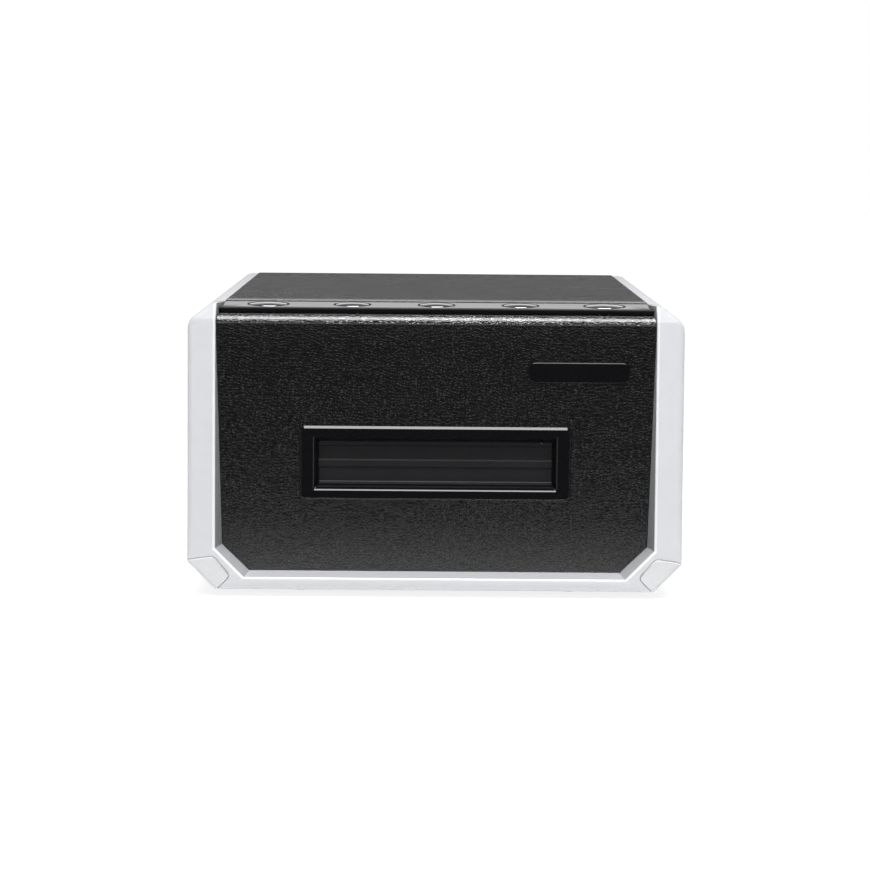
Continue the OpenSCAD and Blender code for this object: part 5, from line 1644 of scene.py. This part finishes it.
@dataclass
class Transport(Assembly):
    """Chassis, rails, rollers, gears and motor."""

    def build(self) -> None:
        """Dresses the drive."""
        self.dress(Slot.SHEET_STEEL, "chassis", "feed_motor")
        self.dress(Slot.BLACK, "left_guide_rail", "right_guide_rail", "pinch_frame")
        self.dress(Slot.BRASS, "shaft_bushes", "motor_pinion")
        self.dress(Slot.STEEL, "gear_posts", "pinch_spring")
        self.dress(Slot.GEAR, "compound_gear", "idler_gear", "front_feed_shaft",
                   "rear_feed_shaft")
        self.dress(Slot.RUBBER, "front_feed_rollers", "rear_feed_rollers",
                   "front_pinch_rollers", "rear_pinch_rollers")


@dataclass
class Optics(Assembly):
    """Lamp, diffuser, mirror, lens and sensor."""

    def build(self) -> None:
        """Dresses the light path."""
        self.dress(Slot.BLACK, "lamp_housing", "optics_housing", "lens_barrel")
        self.dress(Slot.BOARD, "led_board", "sensor_board")
        self.dress(Slot.WHITE, "diffuser")
        self.dress(Slot.MIRROR, "scan_mirror")
        self.dress(Slot.LENS, "lens")
        self.dress(Slot.COMPONENT, "image_sensor", "holder_sensors")


@dataclass
class Electronics(Assembly):
    """Boards, switches and cables."""

    def build(self) -> None:
        """Dresses the boards and what is on them."""
        self.dress(Slot.BOARD, "main_board", "button_board")
        self.dress(Slot.COMPONENT, "main_board_parts", "tact_switches")
        self.dress(Slot.CABLE, "ribbon_cables")


# ---------- studio ----------


@dataclass
class Softbox:
    """A rectangular lamp that faces a point."""

    name: str
    place: tuple[float, float, float]
    aim: tuple[float, float, float]
    size: tuple[float, float]
    watts: float

    def build(self) -> None:
        """Makes the lamp."""
        lamp = bpy.data.lights.new(self.name, "AREA")
        lamp.shape = "RECTANGLE"
        lamp.size, lamp.size_y = self.size
        lamp.energy = self.watts
        made = bpy.data.objects.new(self.name, lamp)
        made.location = self.place
        made.rotation_euler = (Vector(self.aim) - Vector(self.place)).to_track_quat(
            "-Z", "Y").to_euler()
        bpy.context.scene.collection.objects.link(made)


@dataclass
class Studio:
    """Camera, lamps, pale floor and surroundings."""

    camera_place: tuple[float, float, float] = (-2.8, -1299.1, 162.4)
    pitch: float = 5.1126
    yaw: float = 0.1284
    roll: float = 0.4546
    focal: float = 138.85
    sensor: float = 36.0

    def build(self) -> None:
        """Sets up everything round the object."""
        self.camera()
        self.world()
        self.floor()
        for lamp in self.lamps():
            lamp.build()
        bpy.context.scene.view_settings.view_transform = "Standard"

    def camera(self) -> None:
        """Camera that looks along +Y, turned by yaw, then pitched down, then rolled."""
        yaw, pitch, roll = (math.radians(a) for a in (self.yaw, self.pitch, self.roll))
        right = Vector((math.cos(yaw), -math.sin(yaw), 0.0))
        ahead = Vector((math.sin(yaw), math.cos(yaw), 0.0))
        look = ahead * math.cos(pitch) - Vector((0.0, 0.0, 1.0)) * math.sin(pitch)
        up = ahead * math.sin(pitch) + Vector((0.0, 0.0, 1.0)) * math.cos(pitch)
        across = right * math.cos(roll) + up * math.sin(roll)
        above = up * math.cos(roll) - right * math.sin(roll)
        data = bpy.data.cameras.new("camera")
        data.sensor_width = self.sensor
        data.lens = self.focal
        data.clip_start = 0.01
        made = bpy.data.objects.new("camera", data)
        turn = Matrix((across, above, -look)).transposed().to_4x4()
        made.matrix_world = Matrix.Translation(Vector(self.camera_place) * MM) @ turn
        bpy.context.scene.collection.objects.link(made)
        bpy.context.scene.camera = made

    def world(self) -> None:
        """White for the camera; elsewhere a bright low band behind and a dim room in front.

        The level seen by surfaces rises toward the rear. It is dim below and above the band,
        and toward the front.
        """
        world = bpy.data.worlds.new("studio_room")
        world.use_nodes = True
        bpy.context.scene.world = world
        tree = Tree(world.node_tree)
        backdrop = world.node_tree.nodes["Background"]
        split = tree.node("SeparateXYZ", {0: tree.node("TexCoord").outputs["Generated"]})
        behind = tree.remap(split.outputs[1], (0.1, 0.7), (0.0, 1.0))
        low = tree.remap(split.outputs[2], (0.22, 0.36), (1.0, 0.1))
        rise = tree.remap(split.outputs[2], (0.115, 0.2), (0.02, 1.0))
        band = tree.math("MULTIPLY", low, rise)
        room = tree.math("ADD", tree.math("MULTIPLY", behind, band), 0.05)
        path = tree.node("LightPath")
        seen = tree.math("ADD", path.outputs["Is Camera Ray"], path.outputs["Is Transmission Ray"])
        level = tree.node("Mix", {0: seen, 2: room, 3: 1.0}, data_type="FLOAT")
        backdrop.inputs["Color"].default_value = (1.0, 1.0, 1.0, 1.0)
        tree.feed(backdrop.inputs["Strength"], level.outputs[0])

    def floor(self) -> None:
        """Pale floor that the camera sees as white, with the object's soft shadow on it."""
        half = 6000.0
        points = np.array([[-half, -half, 0], [half, -half, 0], [half, half, 0], [-half, half, 0]])
        piece = new_piece("studio_floor", points, np.array([[0, 1, 2, 3]]))
        surface = Surface("floor_paper", EffectBook())
        tree = surface.tree
        paper = surface.effect(Effect.MOULD_GRAIN, Scale=900.0)
        tone = tree.blend(paper.outputs["Tone"], (0.86, 0.86, 0.86, 1), (0.88, 0.88, 0.88, 1))
        surface.set(Base_Color=tone, Roughness=0.9, Specular_IOR_Level=0.1)
        split = tree.node("SeparateXYZ", {0: surface.place})
        reach = tree.node("VectorMath", {0: surface.place}, operation="LENGTH")
        white = tree.remap(reach.outputs["Value"], (0.5, 2.0), (0.84, 1.0))
        dim = tree.math("MULTIPLY", tree.remap(split.outputs[1], (-0.21, -0.16), (0.02, 0.65)),
                        tree.remap(split.outputs[1], (0.15, 0.35), (1.0, 0.2)))
        path = tree.node("LightPath")
        mirrored = path.outputs["Is Glossy Ray"]
        lost = tree.math("MULTIPLY", mirrored, tree.math("SUBTRACT", 1.0, dim))
        kept = tree.math("SUBTRACT", 1.0, lost)
        glow = tree.node("Emission", {"Strength": tree.math("MULTIPLY", white, kept)})
        pale = tree.node("BsdfDiffuse", {"Color": tree.blend(
            mirrored, (0.3, 0.3, 0.3, 1), (0.03, 0.03, 0.03, 1))})
        both = tree.node("AddShader", {0: glow.outputs[0], 1: pale.outputs[0]})
        direct = tree.math("ADD", path.outputs["Is Camera Ray"],
                           path.outputs["Is Transmission Ray"])
        share = tree.math("MINIMUM", tree.math("ADD", direct, mirrored), 1.0)
        seen = tree.node("MixShader", {0: share, 1: surface.shader.outputs[0],
                                       2: both.outputs[0]})
        tree.feed(surface.material.node_tree.nodes["Material Output"].inputs[0], seen.outputs[0])
        piece.data.materials.append(surface.material)

    def lamps(self) -> list[Softbox]:
        """The softboxes: a large one above the front and a weak one near the camera."""
        return [
            Softbox("overhead", (0.05, -0.62, 1.28), (0, -0.1, 0.06), (1.3, 0.62), 28.0),
            Softbox("front_fill", (0.15, -1.6, 0.5), (0, 0, 0.05), (1.0, 0.45), 1.6),
        ]


ASSEMBLIES = (Surround, Shells, FrontPanel, TopDeck, Buttons, FilmSlot, RearEnd, Transport,
              Optics, Electronics)


def main() -> None:
    """Builds the scanner and its studio."""
    logging.basicConfig(level=logging.INFO, format="%(name)s: %(message)s")
    palette = Palette()
    for kind in ASSEMBLIES:
        LOG.info("building %s", kind.__name__)
        kind(palette).build()
    Studio().build()


if __name__ == "__main__":
    main()
